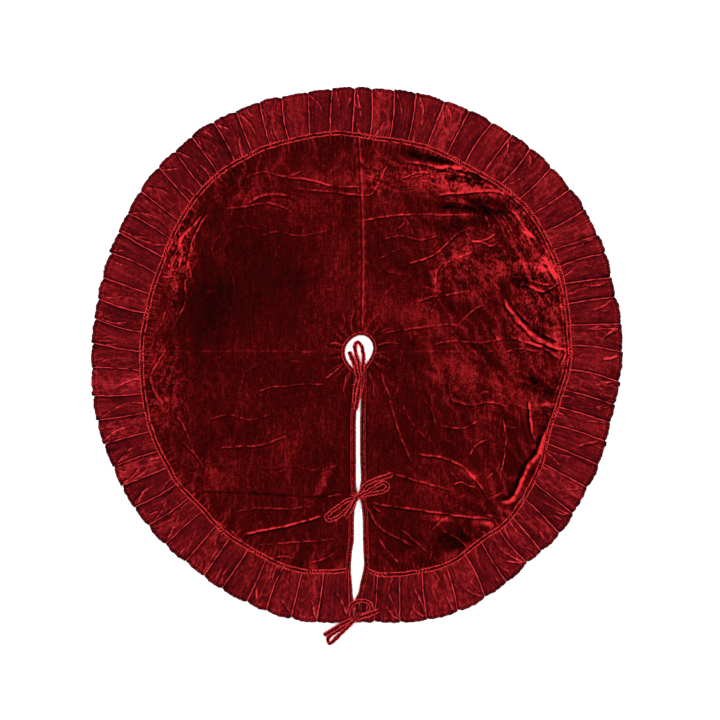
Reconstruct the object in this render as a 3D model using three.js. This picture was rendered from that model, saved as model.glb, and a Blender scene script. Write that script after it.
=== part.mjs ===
// Round velvet tree skirt with a pleated ruffle, a front slit and three pairs of ties.
// Millimetres, +Z up. The skirt lies flat with its underside on z = 0; the slit runs
// towards -Y and the origin is on the floor below the middle of the disc.
import * as THREE from 'three';

// ---------------------------------------------------------------- driving dimensions
const LINING_BOTTOM = 0.3;     // lining sheet, held just off the floor by the ruffle
const LINING_TOP = 1.0;
const VELVET_BOTTOM = 1.3;     // velvet panel sheet
const VELVET_TOP = 3.1;
const TRIM_BOTTOM = 3.4;       // plackets and hole binding lie on the velvet
const TRIM_TOP = 4.8;
const BAND_BOTTOM = 3.5;       // stitched band that covers the gathered seam
const BAND_TOP = 6.1;
const BAND_HALF = 7.4;         // half the band's width
const RUFFLE_LOW = 3.2;        // ruffle height just past a fold
const RUFFLE_HIGH = 6.6;       // ruffle height at a fold's crest
const RUFFLE_FLAT = 3.1;       // where the ruffle is sewn flat
const FOLD_STEP = 0.45;        // degrees over which a fold steps down
const PLACKET = 14.0;          // placket width beside the slit
const PLACKET_HEM = 24.0;      // left placket at the hem, where it takes in the last fold
const BINDING = 9.0;           // width of the trunk hole's binding
const WEB = 1.0;               // edge of a placket or binding, down beside the sheets
const GAP = 0.3;               // clearance between sewn pieces
const TIE_WIDTH = 7.5;        // flat velvet tie
const TIE_THICK = 2.0;
const HEM_SLIT_Y = -706;       // y of the hem beside the slit
const CENTRE = [0.9, -2.4];    // the tables' centre, from the middle of the disc's box

// seam radius and hem radius at every 5 degrees, counter-clockwise from +X
const SEAM = [566.3, 565.7, 569.3, 573.9, 580.7, 586.1, 589.8, 594.4, 597.9, 596.0, 592.5, 586.5,
  582.8, 583.7, 585.5, 583.9, 582.2, 581.8, 587.8, 595.5, 597.7, 598.8, 602.4, 606.4,
  606.4, 608.9, 607.0, 603.0, 596.5, 589.4, 582.1, 575.7, 574.1, 572.4, 572.0, 574.7,
  574.9, 575.9, 577.6, 580.6, 583.2, 583.8, 583.1, 586.5, 581.4, 580.0, 585.3, 587.6,
  586.9, 588.8, 591.9, 591.3, 584.3, 580.5, 582.9, 586.5, 590.7, 595.7, 601.1, 602.9,
  594.9, 589.5, 594.3, 590.0, 581.6, 572.9, 565.8, 552.9, 546.3, 548.4, 552.1, 560.7];
const HEM = [708.4, 709.4, 711.0, 707.1, 713.2, 717.9, 716.7, 722.9, 719.5, 721.4, 721.1, 719.3,
  718.1, 719.1, 718.2, 718.9, 716.8, 713.6, 714.5, 715.7, 717.6, 719.8, 725.6, 726.8,
  731.3, 734.7, 731.0, 731.8, 730.3, 725.2, 720.2, 717.3, 715.4, 712.0, 710.4, 709.3,
  710.2, 712.5, 715.6, 717.2, 717.9, 716.1, 718.3, 718.7, 717.9, 716.8, 714.3, 715.3,
  718.6, 718.7, 721.4, 721.4, 719.1, 712.0, 707.0, 711.5, 720.3, 727.3, 731.1, 730.3,
  725.0, 720.9, 712.4, 716.2, 716.0, 710.7, 706.4, 706.9, 703.0, 699.6, 700.4, 704.0];

// the slit: [y, left edge x, right edge x], from the trunk hole down to the hem
const SLIT = [[-39.9, 3.7, 10.9], [-53.3, 4.8, 9.9], [-71.9, 4.5, 9.3], [-101.2, 1.3, 8.8],
  [-122.5, -0.3, 8.8], [-143.8, -2.4, 7.7], [-170.4, -4.0, 6.7], [-266.3, -4.0, 6.7],
  [-303.6, -4.0, 8.3], [-330.2, -4.0, 9.3], [-346.2, -3.5, 6.7], [-362.2, -0.8, 5.1],
  [-378.1, 0.3, 5.6], [-394.1, -2.4, 10.4], [-410.1, -7.7, 12.0], [-436.7, -9.3, 14.1],
  [-490.0, -9.3, 14.6], [-521.9, -14.6, 15.7], [-553.9, -17.3, 17.8], [-575.2, -17.3, 14.1],
  [-601.8, -14.6, 7.7], [-623.1, -13.0, 3.5], [-644.4, -12.5, -1.3], [-665.8, -11.5, -3.5],
  [-692.4, -10.4, -4.5], [-713.7, -10.4, -4.5]];

// the trunk hole's edge, from the right of its tip counter-clockwise round to the left of it
const HOLE = [[10.9, -39.9], [16.2, -29.8], [24.8, -17.6], [32.8, -5.3], [39.1, 7.5], [41.8, 21.3],
  [38.6, 35.7], [30.6, 46.9], [20.0, 53.8], [8.8, 55.4], [-2.4, 52.7], [-14.1, 45.8],
  [-24.8, 35.2], [-31.7, 22.4], [-33.8, 8.0], [-30.6, -5.9], [-23.2, -19.2], [-13.0, -30.9],
  [-3.5, -38.3], [3.7, -43.1]];

// the centre seam of the two velvet halves, from the trunk hole up to the ruffle
const CENTRE_SEAM = [[10.9, 55.9], [11.5, 149.1], [13.0, 255.6], [12.0, 362.2], [9.3, 442.1],
  [6.7, 508.6], [2.9, 567.2], [1.3, 600.0]];

// the folds of the ruffle: [angle at the hem, angle at the seam]
const FOLDS = [[1.0, 2.9], [7.1, 8.5], [13.0, 14.0], [17.3, 19.5], [22.6, 23.8], [26.8, 28.8],
  [32.9, 33.9], [38.2, 39.2], [44.3, 44.4], [50.3, 50.5], [55.2, 55.6], [60.1, 60.8],
  [65.6, 66.2], [71.2, 71.7], [77.5, 76.9], [82.2, 81.9], [87.0, 86.9], [90.6, 91.6],
  [95.5, 97.1], [100.7, 102.5], [106.4, 107.6], [111.2, 112.6], [116.5, 117.5], [121.7, 122.6],
  [127.2, 127.5], [131.8, 132.7], [136.6, 137.7], [142.9, 143.0], [148.2, 148.2], [152.7, 153.2],
  [157.4, 158.1], [163.0, 163.6], [167.7, 168.5], [172.0, 173.7], [177.3, 179.0], [182.6, 184.3],
  [188.7, 190.0], [194.0, 194.9], [199.3, 200.3], [204.5, 205.8], [208.9, 210.6], [214.3, 215.4],
  [219.1, 220.0], [224.5, 225.2], [230.2, 230.2], [235.1, 235.1], [239.8, 240.6], [245.9, 245.8],
  [250.4, 251.0], [255.9, 255.7], [261.3, 261.2], [273.7, 275.4], [279.2, 281.2], [284.9, 287.0],
  [291.6, 292.9], [298.0, 298.4], [303.5, 303.9], [309.5, 309.4], [313.4, 314.0], [318.8, 319.5],
  [323.9, 324.5], [330.3, 330.0], [335.8, 335.3], [341.1, 340.7], [345.3, 345.9], [349.4, 350.9],
  [354.5, 356.4]];
// the folds in which one ruffle strip is joined to the next
const JOINS = [17.3, 65.6, 116.5, 163.0, 208.9, 323.9];

// the ties, each as the points of its centreline: [x, y, z] and, where it wraps the knot,
// the direction its flat face looks in
const TIES = {
  tie_neck_right: [
    [19.4, -69.8, 6.3], [14.6, -65.5, 7.2], [11.5, -54.3, 8], [12.5, -39.9, 8.2],
    [15.2, -24, 7.4], [16.2, -5.3, 5.4], [14.1, 13.3, 3.8], [8.8, 29.8, 3], [0.3, 37.3, 3],
    [-6.1, 30.4, 3.2], [-5.6, 13.3, 4.4], [-0.8, -5.3, 7.4], [3.5, -22.9, 10.6],
    [5.6, -39.9, 12.8], [6.1, -58.6, 13.2], [5.1, -79.9, 12.4], [2.9, -98.5, 10.6],
    [0.3, -117.2, 9.8], [-2.9, -133.1, 8], [-5.6, -142.7, 6.6],
  ],
  tie_neck_left: [
    [-13, -79.9, 6.3], [-4, -75.1, 8.4], [5.1, -68.2, 10.2], [11.5, -70.8, 9.6], [10.9, -82.6, 8],
    [7.2, -95.9, 7], [3.5, -109.2, 6.6], [-1.3, -122.5, 6.4], [-7.2, -121.4, 6.4],
    [-8.3, -106.5, 8], [-6.7, -90.5, 12], [-2.9, -74.6, 15.6], [1.3, -58.6, 16.2],
    [-1.9, -41.3, 13], [-7.2, -25.3, 8.6], [-13.6, -8, 5.2], [-21.6, 10.7, 3],
  ],
  tie_mid_right: [
    [23.7, -379.7, 6.3], [12, -376.5, 7.4], [0.3, -376.5, 8], [-13.6, -379.7, 7.4],
    [-33.3, -387.7, 6.4], [-53.8, -402.6, 5.4], [-72.2, -416.5, 5], [-83.4, -428.7, 4.9],
    [-75.9, -437.3, 4.9], [-54.6, -430.3, 5.4], [-31.7, -411.7, 6.4], [-14.6, -392.5, 9.8],
    [1.9, -373.9, 13.4], [10.4, -356.3, 12.8], [23.2, -340.9, 9.8], [49.3, -329.1, 6.2],
    [72.2, -321.7, 5], [91.9, -314.8, 4.8],
  ],
  tie_mid_left: [
    [-18.4, -367.5, 6.3], [-8.3, -369.1, 8.6], [2.9, -371.2, 10.6], [22.6, -369.1, 8.6],
    [45.5, -365.4, 6], [70.6, -359, 4.8], [81.2, -348.3, 4.8], [71.6, -337.1, 4.8],
    [46.6, -348.3, 6], [29, -358.4, 11.6], [13, -367, 15.6], [-1.9, -376.5, 16.2],
    [-8.8, -389.9, 14.2], [-16.8, -405.8, 11.6], [-25.3, -419.2, 8.4], [-33.3, -429.8, 6],
  ],
  tie_hem_left: [
    [-23.2, -682.8, 6.4], [-20.5, -667.9, 6.6], [-12, -657.8, 7.2], [2.4, -651.9, 7.8],
    [18.6, -651.1, 8.6], [33.8, -658.3, 8.8], [38.1, -672.7, 8.8], [26.9, -683.9, 9],
    [10.9, -690.2, 9.3], [-5.1, -696.6, 9.5], [-22.6, -703.6, 9.2], [-42.3, -714.2, 7.6],
    [-65.2, -728.6, 4.2], [-88.7, -742.4, 1.9],
  ],
  tie_hem_right: [
    [10.4, -680.7, 6.1], [7.7, -690.8, 6.3], [-2.4, -699.8, 6.4], [-17.3, -710, 6.4],
    [-32.2, -719, 5.2], [-48.2, -728.1, 4], [-66.3, -739.2, 2.6], [-78.6, -752.6, 1.9],
    [-74.3, -765.3, 1.9], [-59.9, -754.2, 2.2], [-41, -735.5, 4.2], [-22.6, -716.9, 8.6],
    [-5.1, -700.1, 12.4], [12, -693.4, 12.8], [26.9, -688.1, 12.2], [41.3, -682.3, 10.8],
    [57, -676.4, 8.9],
  ],
};

// ---------------------------------------------------------------- curves
const rad = (d) => (d * Math.PI) / 180;

// periodic smooth reading of a table at every 5 degrees
function polar(table, deg) {
  const n = table.length, s = (((deg % 360) + 360) % 360) / 5, i = Math.floor(s), t = s - i;
  const p = (k) => table[(((i + k) % n) + n) % n];
  const [a, b, c, d] = [p(-1), p(0), p(1), p(2)];
  return b + 0.5 * t * (c - a + t * (2 * a - 5 * b + 4 * c - d + t * (3 * (b - c) + d - a)));
}
const onRay = (r, deg) => [r * Math.cos(rad(deg)), r * Math.sin(rad(deg))];

// linear reading of a table of rows ordered by falling first column
function readDown(rows, y, col) {
  if (y >= rows[0][0]) return rows[0][col];
  for (let i = 1; i < rows.length; i++) {
    if (y >= rows[i][0]) {
      const t = (rows[i - 1][0] - y) / (rows[i - 1][0] - rows[i][0]);
      return rows[i - 1][col] + t * (rows[i][col] - rows[i - 1][col]);
    }
  }
  return rows[rows.length - 1][col];
}
const slitX = (y, side) => readDown(SLIT, y, side < 0 ? 1 : 2);
function seamX(y) {
  for (let i = 1; i < CENTRE_SEAM.length; i++) {
    if (y <= CENTRE_SEAM[i][1]) {
      const [a, b] = [CENTRE_SEAM[i - 1], CENTRE_SEAM[i]];
      return a[0] + ((y - a[1]) / (b[1] - a[1])) * (b[0] - a[0]);
    }
  }
  return CENTRE_SEAM[CENTRE_SEAM.length - 1][0];
}
// the angle at which a curve of polar radius meets the line x = f(y) near a starting angle
function meets(table, add, f, start) {
  let deg = start;
  for (let k = 0; k < 30; k++) {
    const r = polar(table, deg) + add;
    const y = r * Math.sin(rad(deg));
    const s = Math.min(1, Math.max(-1, f(y) / r));
    deg = start < 180 ? (Math.acos(s) * 180) / Math.PI : 360 - (Math.acos(s) * 180) / Math.PI;
  }
  return deg;
}
function placketWidth(y, side) {
  if (side > 0 || y > -560) return PLACKET;
  return PLACKET + ((PLACKET_HEM - PLACKET) * Math.min(1, (-560 - y) / 90));
}

// ---------------------------------------------------------------- solids
// a closed body through equal rings of points; the first and last ring are capped
function loft(rings) {
  const n = rings[0].length, pos = [], index = [];
  rings.forEach((ring) => ring.forEach((p) => pos.push(...p)));
  for (let i = 0; i + 1 < rings.length; i++) {
    for (let j = 0; j < n; j++) {
      const a = i * n + j, b = i * n + ((j + 1) % n), c = a + n, d = b + n;
      index.push(a, b, d, a, d, c);
    }
  }
  const cap = (ring, base, flip) => {
    // the ring's own plane, from its first corner
    const o = new THREE.Vector3(...ring[0]);
    const normal = new THREE.Vector3();
    const v = ring.map((p) => new THREE.Vector3(...p).sub(o));
    for (let j = 0; j < n; j++) normal.add(v[j].clone().cross(v[(j + 1) % n]));
    normal.normalize();
    const u = v[1].clone().normalize(), w = normal.clone().cross(u);
    const flat = v.map((q) => new THREE.Vector2(q.dot(u), q.dot(w)));
    THREE.ShapeUtils.triangulateShape(flat, []).forEach(([a, b, c]) => {
      if (flip) index.push(base + a, base + c, base + b);
      else index.push(base + a, base + b, base + c);
    });
  };
  cap(rings[0], 0, true);
  cap(rings[rings.length - 1], (rings.length - 1) * n, false);
  // faces turn outwards whichever way the rings were given
  let volume = 0;
  const at = (i) => new THREE.Vector3(pos[3 * i], pos[3 * i + 1], pos[3 * i + 2]);
  for (let i = 0; i < index.length; i += 3) {
    volume += at(index[i]).dot(at(index[i + 1]).cross(at(index[i + 2])));
  }
  if (volume < 0) index.reverse();
  const g = new THREE.BufferGeometry();
  g.setAttribute('position', new THREE.Float32BufferAttribute(pos, 3));
  g.setIndex(index);
  g.computeVertexNormals();
  return g;
}

// a level sheet of the given outline
function sheet(outline, bottom, top) {
  const shape = new THREE.Shape(outline.map(([x, y]) => new THREE.Vector2(x, y)));
  const g = new THREE.ExtrudeGeometry(shape, { depth: top - bottom, bevelEnabled: false, steps: 1 });
  g.translate(0, 0, bottom);
  return g;
}

// outward offset of an open run of points, positive to the right of the way they go
function offset(points, d) {
  return points.map((p, i) => {
    const a = points[Math.max(0, i - 1)], b = points[Math.min(points.length - 1, i + 1)];
    const l = Math.hypot(b[0] - a[0], b[1] - a[1]);
    return [p[0] + (d * (b[1] - a[1])) / l, p[1] - (d * (b[0] - a[0])) / l];
  });
}

// half of the round top: side -1 is left of the slit, +1 right of it
function panelOutline(side, inset, edgeInset) {
  const out = [];
  const slitLine = (y) => slitX(y, side) + side * edgeInset;
  const seamLine = (y) => seamX(y) + side * (GAP / 2 + 0.05);
  const a0 = meets(SEAM, -inset, seamLine, 90);
  const a1 = meets(SEAM, -inset, slitLine, side < 0 ? 268 : 272);
  // rim, going from the centre seam round to the slit
  const from = a0, to = side < 0 ? a1 : a1 - 360;
  const steps = 40;
  for (let i = 0; i <= steps; i++) {
    const deg = from + ((to - from) * i) / steps;
    out.push(onRay(polar(SEAM, deg) - inset, deg));
  }
  // up the slit
  const top = side < 0 ? -43 : -40;
  const yRim = out[out.length - 1][1];
  SLIT.filter(([y]) => y > yRim + 0.5 && y < top - 6)
    .reverse()
    .forEach(([y]) => out.push([slitLine(y), y]));
  // round the trunk hole to the centre seam; the hole's run is counter-clockwise
  const hole = offset(HOLE, edgeInset);
  const half = side > 0 ? hole.slice(0, 9) : hole.slice(10).reverse();
  half.forEach((p) => out.push(p));
  out.push([seamLine(56.5), 56.5 + edgeInset * 0.6]);
  CENTRE_SEAM.slice(1, -1).forEach(([, y]) => out.push([seamLine(y), y]));
  return out;
}

// one strip of the ruffle between two angles at the hem; a null angle is the slit
function ruffle(fromDeg, toDeg) {
  const T = [0, 0.09, 0.16, 0.5, 0.86, 1];
  const rings = [];
  const ring = (pt, height, lowEdge) => {
    // inner foot, outer foot, then back over the top
    const z = T.map((t) => {
      const rise = t < 0.1 ? 0 : Math.min(1, (t - 0.09) / 0.1);
      return Math.max(RUFFLE_FLAT, RUFFLE_FLAT + (height - RUFFLE_FLAT) * rise * (t > 0.97 ? lowEdge : 1));
    });
    const foot = [pt(0), pt(1)].map(([x, y]) => [x, y, 0]);
    const over = T.map((t, k) => [...pt(t), z[k]]).reverse();
    rings.push([...foot, ...over]);
  };
  const at = (hem, seam) => (t) => {
    const deg = seam + (hem - seam) * t;
    const r0 = polar(SEAM, deg) + 1.0, r1 = polar(HEM, deg);
    return onRay(r0 + (r1 - r0) * t, deg);
  };
  const slitEnd = (side) => {
    const w = WEB + GAP;
    const y0 = -(polar(SEAM, 270) + 1.0 + 4), y1 = HEM_SLIT_Y;
    return (t) => {
      const y = y0 + (y1 - y0) * t;
      return [slitX(y, side) + side * w, y];
    };
  };
  const slitInner = (side) => {
    // under the placket's outer edge the strip is sewn flat
    const y0 = -(polar(SEAM, 270) + 1.0 + 3), y1 = HEM_SLIT_Y - 3;
    return (t) => {
      const y = y0 + (y1 - y0) * t;
      return [slitX(y, side) + side * (placketWidth(y, side) + GAP + 1.5), y];
    };
  };
  const folds = FOLDS.filter(([h]) => (fromDeg === null || h > fromDeg - 0.01) && (toDeg === null || h < toDeg + 0.01));
  let list = folds;
  if (fromDeg !== null && toDeg !== null && fromDeg > toDeg) {
    list = [...FOLDS.filter(([h]) => h > fromDeg - 0.01), ...FOLDS.filter(([h]) => h < toDeg + 0.01).map(([h, s]) => [h + 360, s + 360])];
  }
  if (fromDeg === null) {
    list = FOLDS.filter(([h]) => h > 270 && h < toDeg + 0.01);
    ring(slitEnd(1), RUFFLE_FLAT, 1);
    ring(slitInner(1), RUFFLE_FLAT, 1);
    const mid = [(271.4 + list[0][0]) / 2, (272.4 + list[0][1]) / 2];
    ring(at(...mid), RUFFLE_HIGH * 0.8, 0.8);
    ring(at(list[0][0] - 0.08, list[0][1] - 0.08), RUFFLE_HIGH, 0.8);
  }
  if (toDeg === null) list = FOLDS.filter(([h]) => h > fromDeg - 0.01 && h < 270);
  for (let i = 0; i < list.length; i++) {
    const [h, s] = list[i], next = list[i + 1];
    const first = i === 0 && fromDeg !== null;
    ring(at(h + (first ? 0.12 : FOLD_STEP), s + (first ? 0.12 : FOLD_STEP)), RUFFLE_LOW, 0.98);
    if (!next) break;
    ring(at((h + next[0]) / 2, (s + next[1]) / 2), (RUFFLE_LOW + RUFFLE_HIGH) / 2, 0.9);
    ring(at(next[0] - 0.02, next[1] - 0.02), RUFFLE_HIGH, 0.8);
    if (i === list.length - 2 && toDeg !== null) break;
  }
  if (toDeg === null) {
    ring(slitInner(-1), RUFFLE_FLAT, 1);
    ring(slitEnd(-1), RUFFLE_FLAT, 1);
  }
  return loft(rings);
}

// half of the seam band, from just past one angle to just before another
function band(fromDeg, toDeg) {
  const rings = [];
  const steps = Math.round((toDeg - fromDeg) / 4);
  for (let i = 0; i <= steps; i++) {
    const deg = fromDeg + ((toDeg - fromDeg) * i) / steps;
    const r = polar(SEAM, deg);
    const p = onRay(r - BAND_HALF, deg), q = onRay(r + BAND_HALF, deg), m = onRay(r, deg);
    rings.push([[...p, BAND_BOTTOM], [...q, BAND_BOTTOM], [...q, BAND_TOP - 0.8], [...m, BAND_TOP], [...p, BAND_TOP - 0.8]]);
  }
  return loft(rings);
}

// the placket along one edge of the slit: a strip on the velvet, turned down over the edge
function placket(side) {
  const rows = SLIT.filter(([y]) => y < -50 && y > HEM_SLIT_Y).map(([y]) => y);
  const ys = [-48, ...rows, HEM_SLIT_Y];
  const rings = ys.map((y) => {
    const e = slitX(y, side), w = placketWidth(y, side);
    const x = (d) => e + side * d;
    const ring = [[x(0), y, LINING_BOTTOM], [x(WEB), y, LINING_BOTTOM], [x(WEB), y, TRIM_BOTTOM], [x(w), y, TRIM_BOTTOM], [x(w), y, TRIM_TOP], [x(0), y, TRIM_TOP]];
    return side > 0 ? ring.reverse() : ring;
  });
  return loft(rings.map((r) => r.slice().reverse()));
}

// the binding round the trunk hole, a strip on the velvet turned down over the edge
function holeBinding() {
  const run = HOLE.slice(0, 19);
  run[0] = [12.6, -36.6];
  const web = offset(run, WEB), out = offset(run, BINDING);
  // the two ends keep clear of the plackets
  out[0] = [20.0, -42.0];
  web[0] = [13.5, -37.4];
  out[18] = [-8.8, -46.2];
  web[18] = [-4.2, -39.1];
  const rings = run.map((p, i) => [
    [...p, LINING_BOTTOM], [...web[i], LINING_BOTTOM], [...web[i], TRIM_BOTTOM], [...out[i], TRIM_BOTTOM], [...out[i], TRIM_TOP], [...p, TRIM_TOP],
  ]);
  return loft(rings.map((r) => r.slice().reverse()));
}

// a flat tie swept along its route, wide face kept level or as the route's points say
function tie(points) {
  const curve = new THREE.CatmullRomCurve3(points.map((p) => new THREE.Vector3(p[0], p[1], p[2])), false, 'centripetal');
  const ups = points.map((p) => (p.length > 3 ? new THREE.Vector3(p[3], p[4], p[5]) : new THREE.Vector3(0, 0, 1)));
  const steps = Math.min(44, Math.max(16, Math.round(curve.getLength() / 9)));
  const rings = [];
  const half = [TIE_WIDTH / 2, TIE_THICK / 2];
  for (let i = 0; i <= steps; i++) {
    const u = i / steps;
    const t = u * (points.length - 1), k = Math.min(points.length - 2, Math.floor(t));
    const p = curve.getPoint(u), dir = curve.getTangent(u);
    const up = ups[k].clone().lerp(ups[k + 1], t - k);
    const sideways = up.clone().cross(dir).normalize();
    const normal = dir.clone().cross(sideways).normalize();
    const ring = [];
    [[1, 0], [0.72, 0.86], [0, 1], [-0.72, 0.86], [-1, 0], [-0.72, -0.86], [0, -1], [0.72, -0.86]].forEach(([a, b]) => {
      const q = p.clone().addScaledVector(sideways, a * half[0]).addScaledVector(normal, b * half[1]);
      ring.push([q.x, q.y, q.z]);
    });
    rings.push(ring);
  }
  return loft(rings);
}

// ---------------------------------------------------------------- assembly
const VELVET = { color: 0x5a070b, roughness: 0.85, metalness: 0 };
const LINING = { color: 0x5c1013, roughness: 0.7, metalness: 0 };
const skirt = new THREE.Group();
function add(name, geometry, look) {
  const mesh = new THREE.Mesh(geometry, new THREE.MeshStandardMaterial(look));
  mesh.name = name;
  skirt.add(mesh);
}

add('velvet_panel_left', sheet(panelOutline(-1, 1.0, WEB + GAP), VELVET_BOTTOM, VELVET_TOP), VELVET);
add('velvet_panel_right', sheet(panelOutline(1, 1.0, WEB + GAP), VELVET_BOTTOM, VELVET_TOP), VELVET);
add('lining_left', sheet(panelOutline(-1, 1.6, WEB + GAP + 0.4), LINING_BOTTOM, LINING_TOP), LINING);
add('lining_right', sheet(panelOutline(1, 1.6, WEB + GAP + 0.4), LINING_BOTTOM, LINING_TOP), LINING);

add('ruffle_strip_1', ruffle(null, 323.9), VELVET);
add('ruffle_strip_2', ruffle(323.9, 17.3), VELVET);
add('ruffle_strip_3', ruffle(17.3, 65.6), VELVET);
add('ruffle_strip_4', ruffle(65.6, 116.5), VELVET);
add('ruffle_strip_5', ruffle(116.5, 163.0), VELVET);
add('ruffle_strip_6', ruffle(163.0, 208.9), VELVET);
add('ruffle_strip_7', ruffle(208.9, null), VELVET);

const leftEnd = meets(SEAM, 0, (y) => slitX(y, -1) - placketWidth(y - BAND_HALF, -1) - 2.4, 268);
const rightEnd = meets(SEAM, 0, (y) => slitX(y, 1) + PLACKET + 3.6, 272);
add('seam_band_left', band(93.2, leftEnd), VELVET);
add('seam_band_right', band(rightEnd - 360, 93.1), VELVET);
add('placket_left', placket(-1), VELVET);
add('placket_right', placket(1), VELVET);
add('hole_binding', holeBinding(), VELVET);
Object.entries(TIES).forEach(([name, points]) => add(name, tie(points), VELVET));

skirt.position.set(CENTRE[0], CENTRE[1], 0);

export default skirt;
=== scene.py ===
import math
import bpy
import numpy as np
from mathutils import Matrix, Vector


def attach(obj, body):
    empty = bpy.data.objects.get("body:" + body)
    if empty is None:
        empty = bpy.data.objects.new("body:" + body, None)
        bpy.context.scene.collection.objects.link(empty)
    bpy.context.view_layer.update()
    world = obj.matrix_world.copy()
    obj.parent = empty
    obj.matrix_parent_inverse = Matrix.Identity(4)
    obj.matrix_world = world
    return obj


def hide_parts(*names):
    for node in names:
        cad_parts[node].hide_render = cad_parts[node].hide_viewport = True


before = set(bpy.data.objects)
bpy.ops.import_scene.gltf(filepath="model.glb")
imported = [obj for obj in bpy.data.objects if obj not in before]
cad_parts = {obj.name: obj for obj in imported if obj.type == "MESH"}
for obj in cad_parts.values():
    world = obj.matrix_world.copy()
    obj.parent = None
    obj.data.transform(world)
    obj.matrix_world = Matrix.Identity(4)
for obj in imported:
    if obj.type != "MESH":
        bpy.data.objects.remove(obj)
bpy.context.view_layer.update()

# Millimetres here, metres in Blender. The tables are the ones that shape the CAD model.
OFFSET = (0.9, -2.4)
SEAM = np.array([566.3, 565.7, 569.3, 573.9, 580.7, 586.1, 589.8, 594.4, 597.9, 596.0, 592.5, 586.5,
  582.8, 583.7, 585.5, 583.9, 582.2, 581.8, 587.8, 595.5, 597.7, 598.8, 602.4, 606.4,
  606.4, 608.9, 607.0, 603.0, 596.5, 589.4, 582.1, 575.7, 574.1, 572.4, 572.0, 574.7,
  574.9, 575.9, 577.6, 580.6, 583.2, 583.8, 583.1, 586.5, 581.4, 580.0, 585.3, 587.6,
  586.9, 588.8, 591.9, 591.3, 584.3, 580.5, 582.9, 586.5, 590.7, 595.7, 601.1, 602.9,
  594.9, 589.5, 594.3, 590.0, 581.6, 572.9, 565.8, 552.9, 546.3, 548.4, 552.1, 560.7])
HEM = np.array([708.4, 709.4, 711.0, 707.1, 713.2, 717.9, 716.7, 722.9, 719.5, 721.4, 721.1, 719.3,
  718.1, 719.1, 718.2, 718.9, 716.8, 713.6, 714.5, 715.7, 717.6, 719.8, 725.6, 726.8,
  731.3, 734.7, 731.0, 731.8, 730.3, 725.2, 720.2, 717.3, 715.4, 712.0, 710.4, 709.3,
  710.2, 712.5, 715.6, 717.2, 717.9, 716.1, 718.3, 718.7, 717.9, 716.8, 714.3, 715.3,
  718.6, 718.7, 721.4, 721.4, 719.1, 712.0, 707.0, 711.5, 720.3, 727.3, 731.1, 730.3,
  725.0, 720.9, 712.4, 716.2, 716.0, 710.7, 706.4, 706.9, 703.0, 699.6, 700.4, 704.0])
SLIT = np.array([[-39.9, 3.7, 10.9], [-53.3, 4.8, 9.9], [-71.9, 4.5, 9.3], [-101.2, 1.3, 8.8],
  [-122.5, -0.3, 8.8], [-143.8, -2.4, 7.7], [-170.4, -4.0, 6.7], [-266.3, -4.0, 6.7],
  [-303.6, -4.0, 8.3], [-330.2, -4.0, 9.3], [-346.2, -3.5, 6.7], [-362.2, -0.8, 5.1],
  [-378.1, 0.3, 5.6], [-394.1, -2.4, 10.4], [-410.1, -7.7, 12.0], [-436.7, -9.3, 14.1],
  [-490.0, -9.3, 14.6], [-521.9, -14.6, 15.7], [-553.9, -17.3, 17.8], [-575.2, -17.3, 14.1],
  [-601.8, -14.6, 7.7], [-623.1, -13.0, 3.5], [-644.4, -12.5, -1.3], [-665.8, -11.5, -3.5],
  [-692.4, -10.4, -4.5], [-713.7, -10.4, -4.5]])
HOLE = np.array([[10.9, -39.9], [16.2, -29.8], [24.8, -17.6], [32.8, -5.3], [39.1, 7.5], [41.8, 21.3],
  [38.6, 35.7], [30.6, 46.9], [20.0, 53.8], [8.8, 55.4], [-2.4, 52.7], [-14.1, 45.8],
  [-24.8, 35.2], [-31.7, 22.4], [-33.8, 8.0], [-30.6, -5.9], [-23.2, -19.2], [-13.0, -30.9],
  [-3.5, -38.3], [3.7, -43.1]])
CENTRE_SEAM = np.array([[10.9, 55.9], [11.5, 149.1], [13.0, 255.6], [12.0, 362.2], [9.3, 442.1],
  [6.7, 508.6], [2.9, 567.2], [1.3, 600.0]])
FOLDS = [[1.0, 2.9], [7.1, 8.5], [13.0, 14.0], [17.3, 19.5], [22.6, 23.8], [26.8, 28.8],
  [32.9, 33.9], [38.2, 39.2], [44.3, 44.4], [50.3, 50.5], [55.2, 55.6], [60.1, 60.8],
  [65.6, 66.2], [71.2, 71.7], [77.5, 76.9], [82.2, 81.9], [87.0, 86.9], [90.6, 91.6],
  [95.5, 97.1], [100.7, 102.5], [106.4, 107.6], [111.2, 112.6], [116.5, 117.5], [121.7, 122.6],
  [127.2, 127.5], [131.8, 132.7], [136.6, 137.7], [142.9, 143.0], [148.2, 148.2], [152.7, 153.2],
  [157.4, 158.1], [163.0, 163.6], [167.7, 168.5], [172.0, 173.7], [177.3, 179.0], [182.6, 184.3],
  [188.7, 190.0], [194.0, 194.9], [199.3, 200.3], [204.5, 205.8], [208.9, 210.6], [214.3, 215.4],
  [219.1, 220.0], [224.5, 225.2], [230.2, 230.2], [235.1, 235.1], [239.8, 240.6], [245.9, 245.8],
  [250.4, 251.0], [255.9, 255.7], [261.3, 261.2], [273.7, 275.4], [279.2, 281.2], [284.9, 287.0],
  [291.6, 292.9], [298.0, 298.4], [303.5, 303.9], [309.5, 309.4], [313.4, 314.0], [318.8, 319.5],
  [323.9, 324.5], [330.3, 330.0], [335.8, 335.3], [341.1, 340.7], [345.3, 345.9], [349.4, 350.9],
  [354.5, 356.4]]
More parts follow.
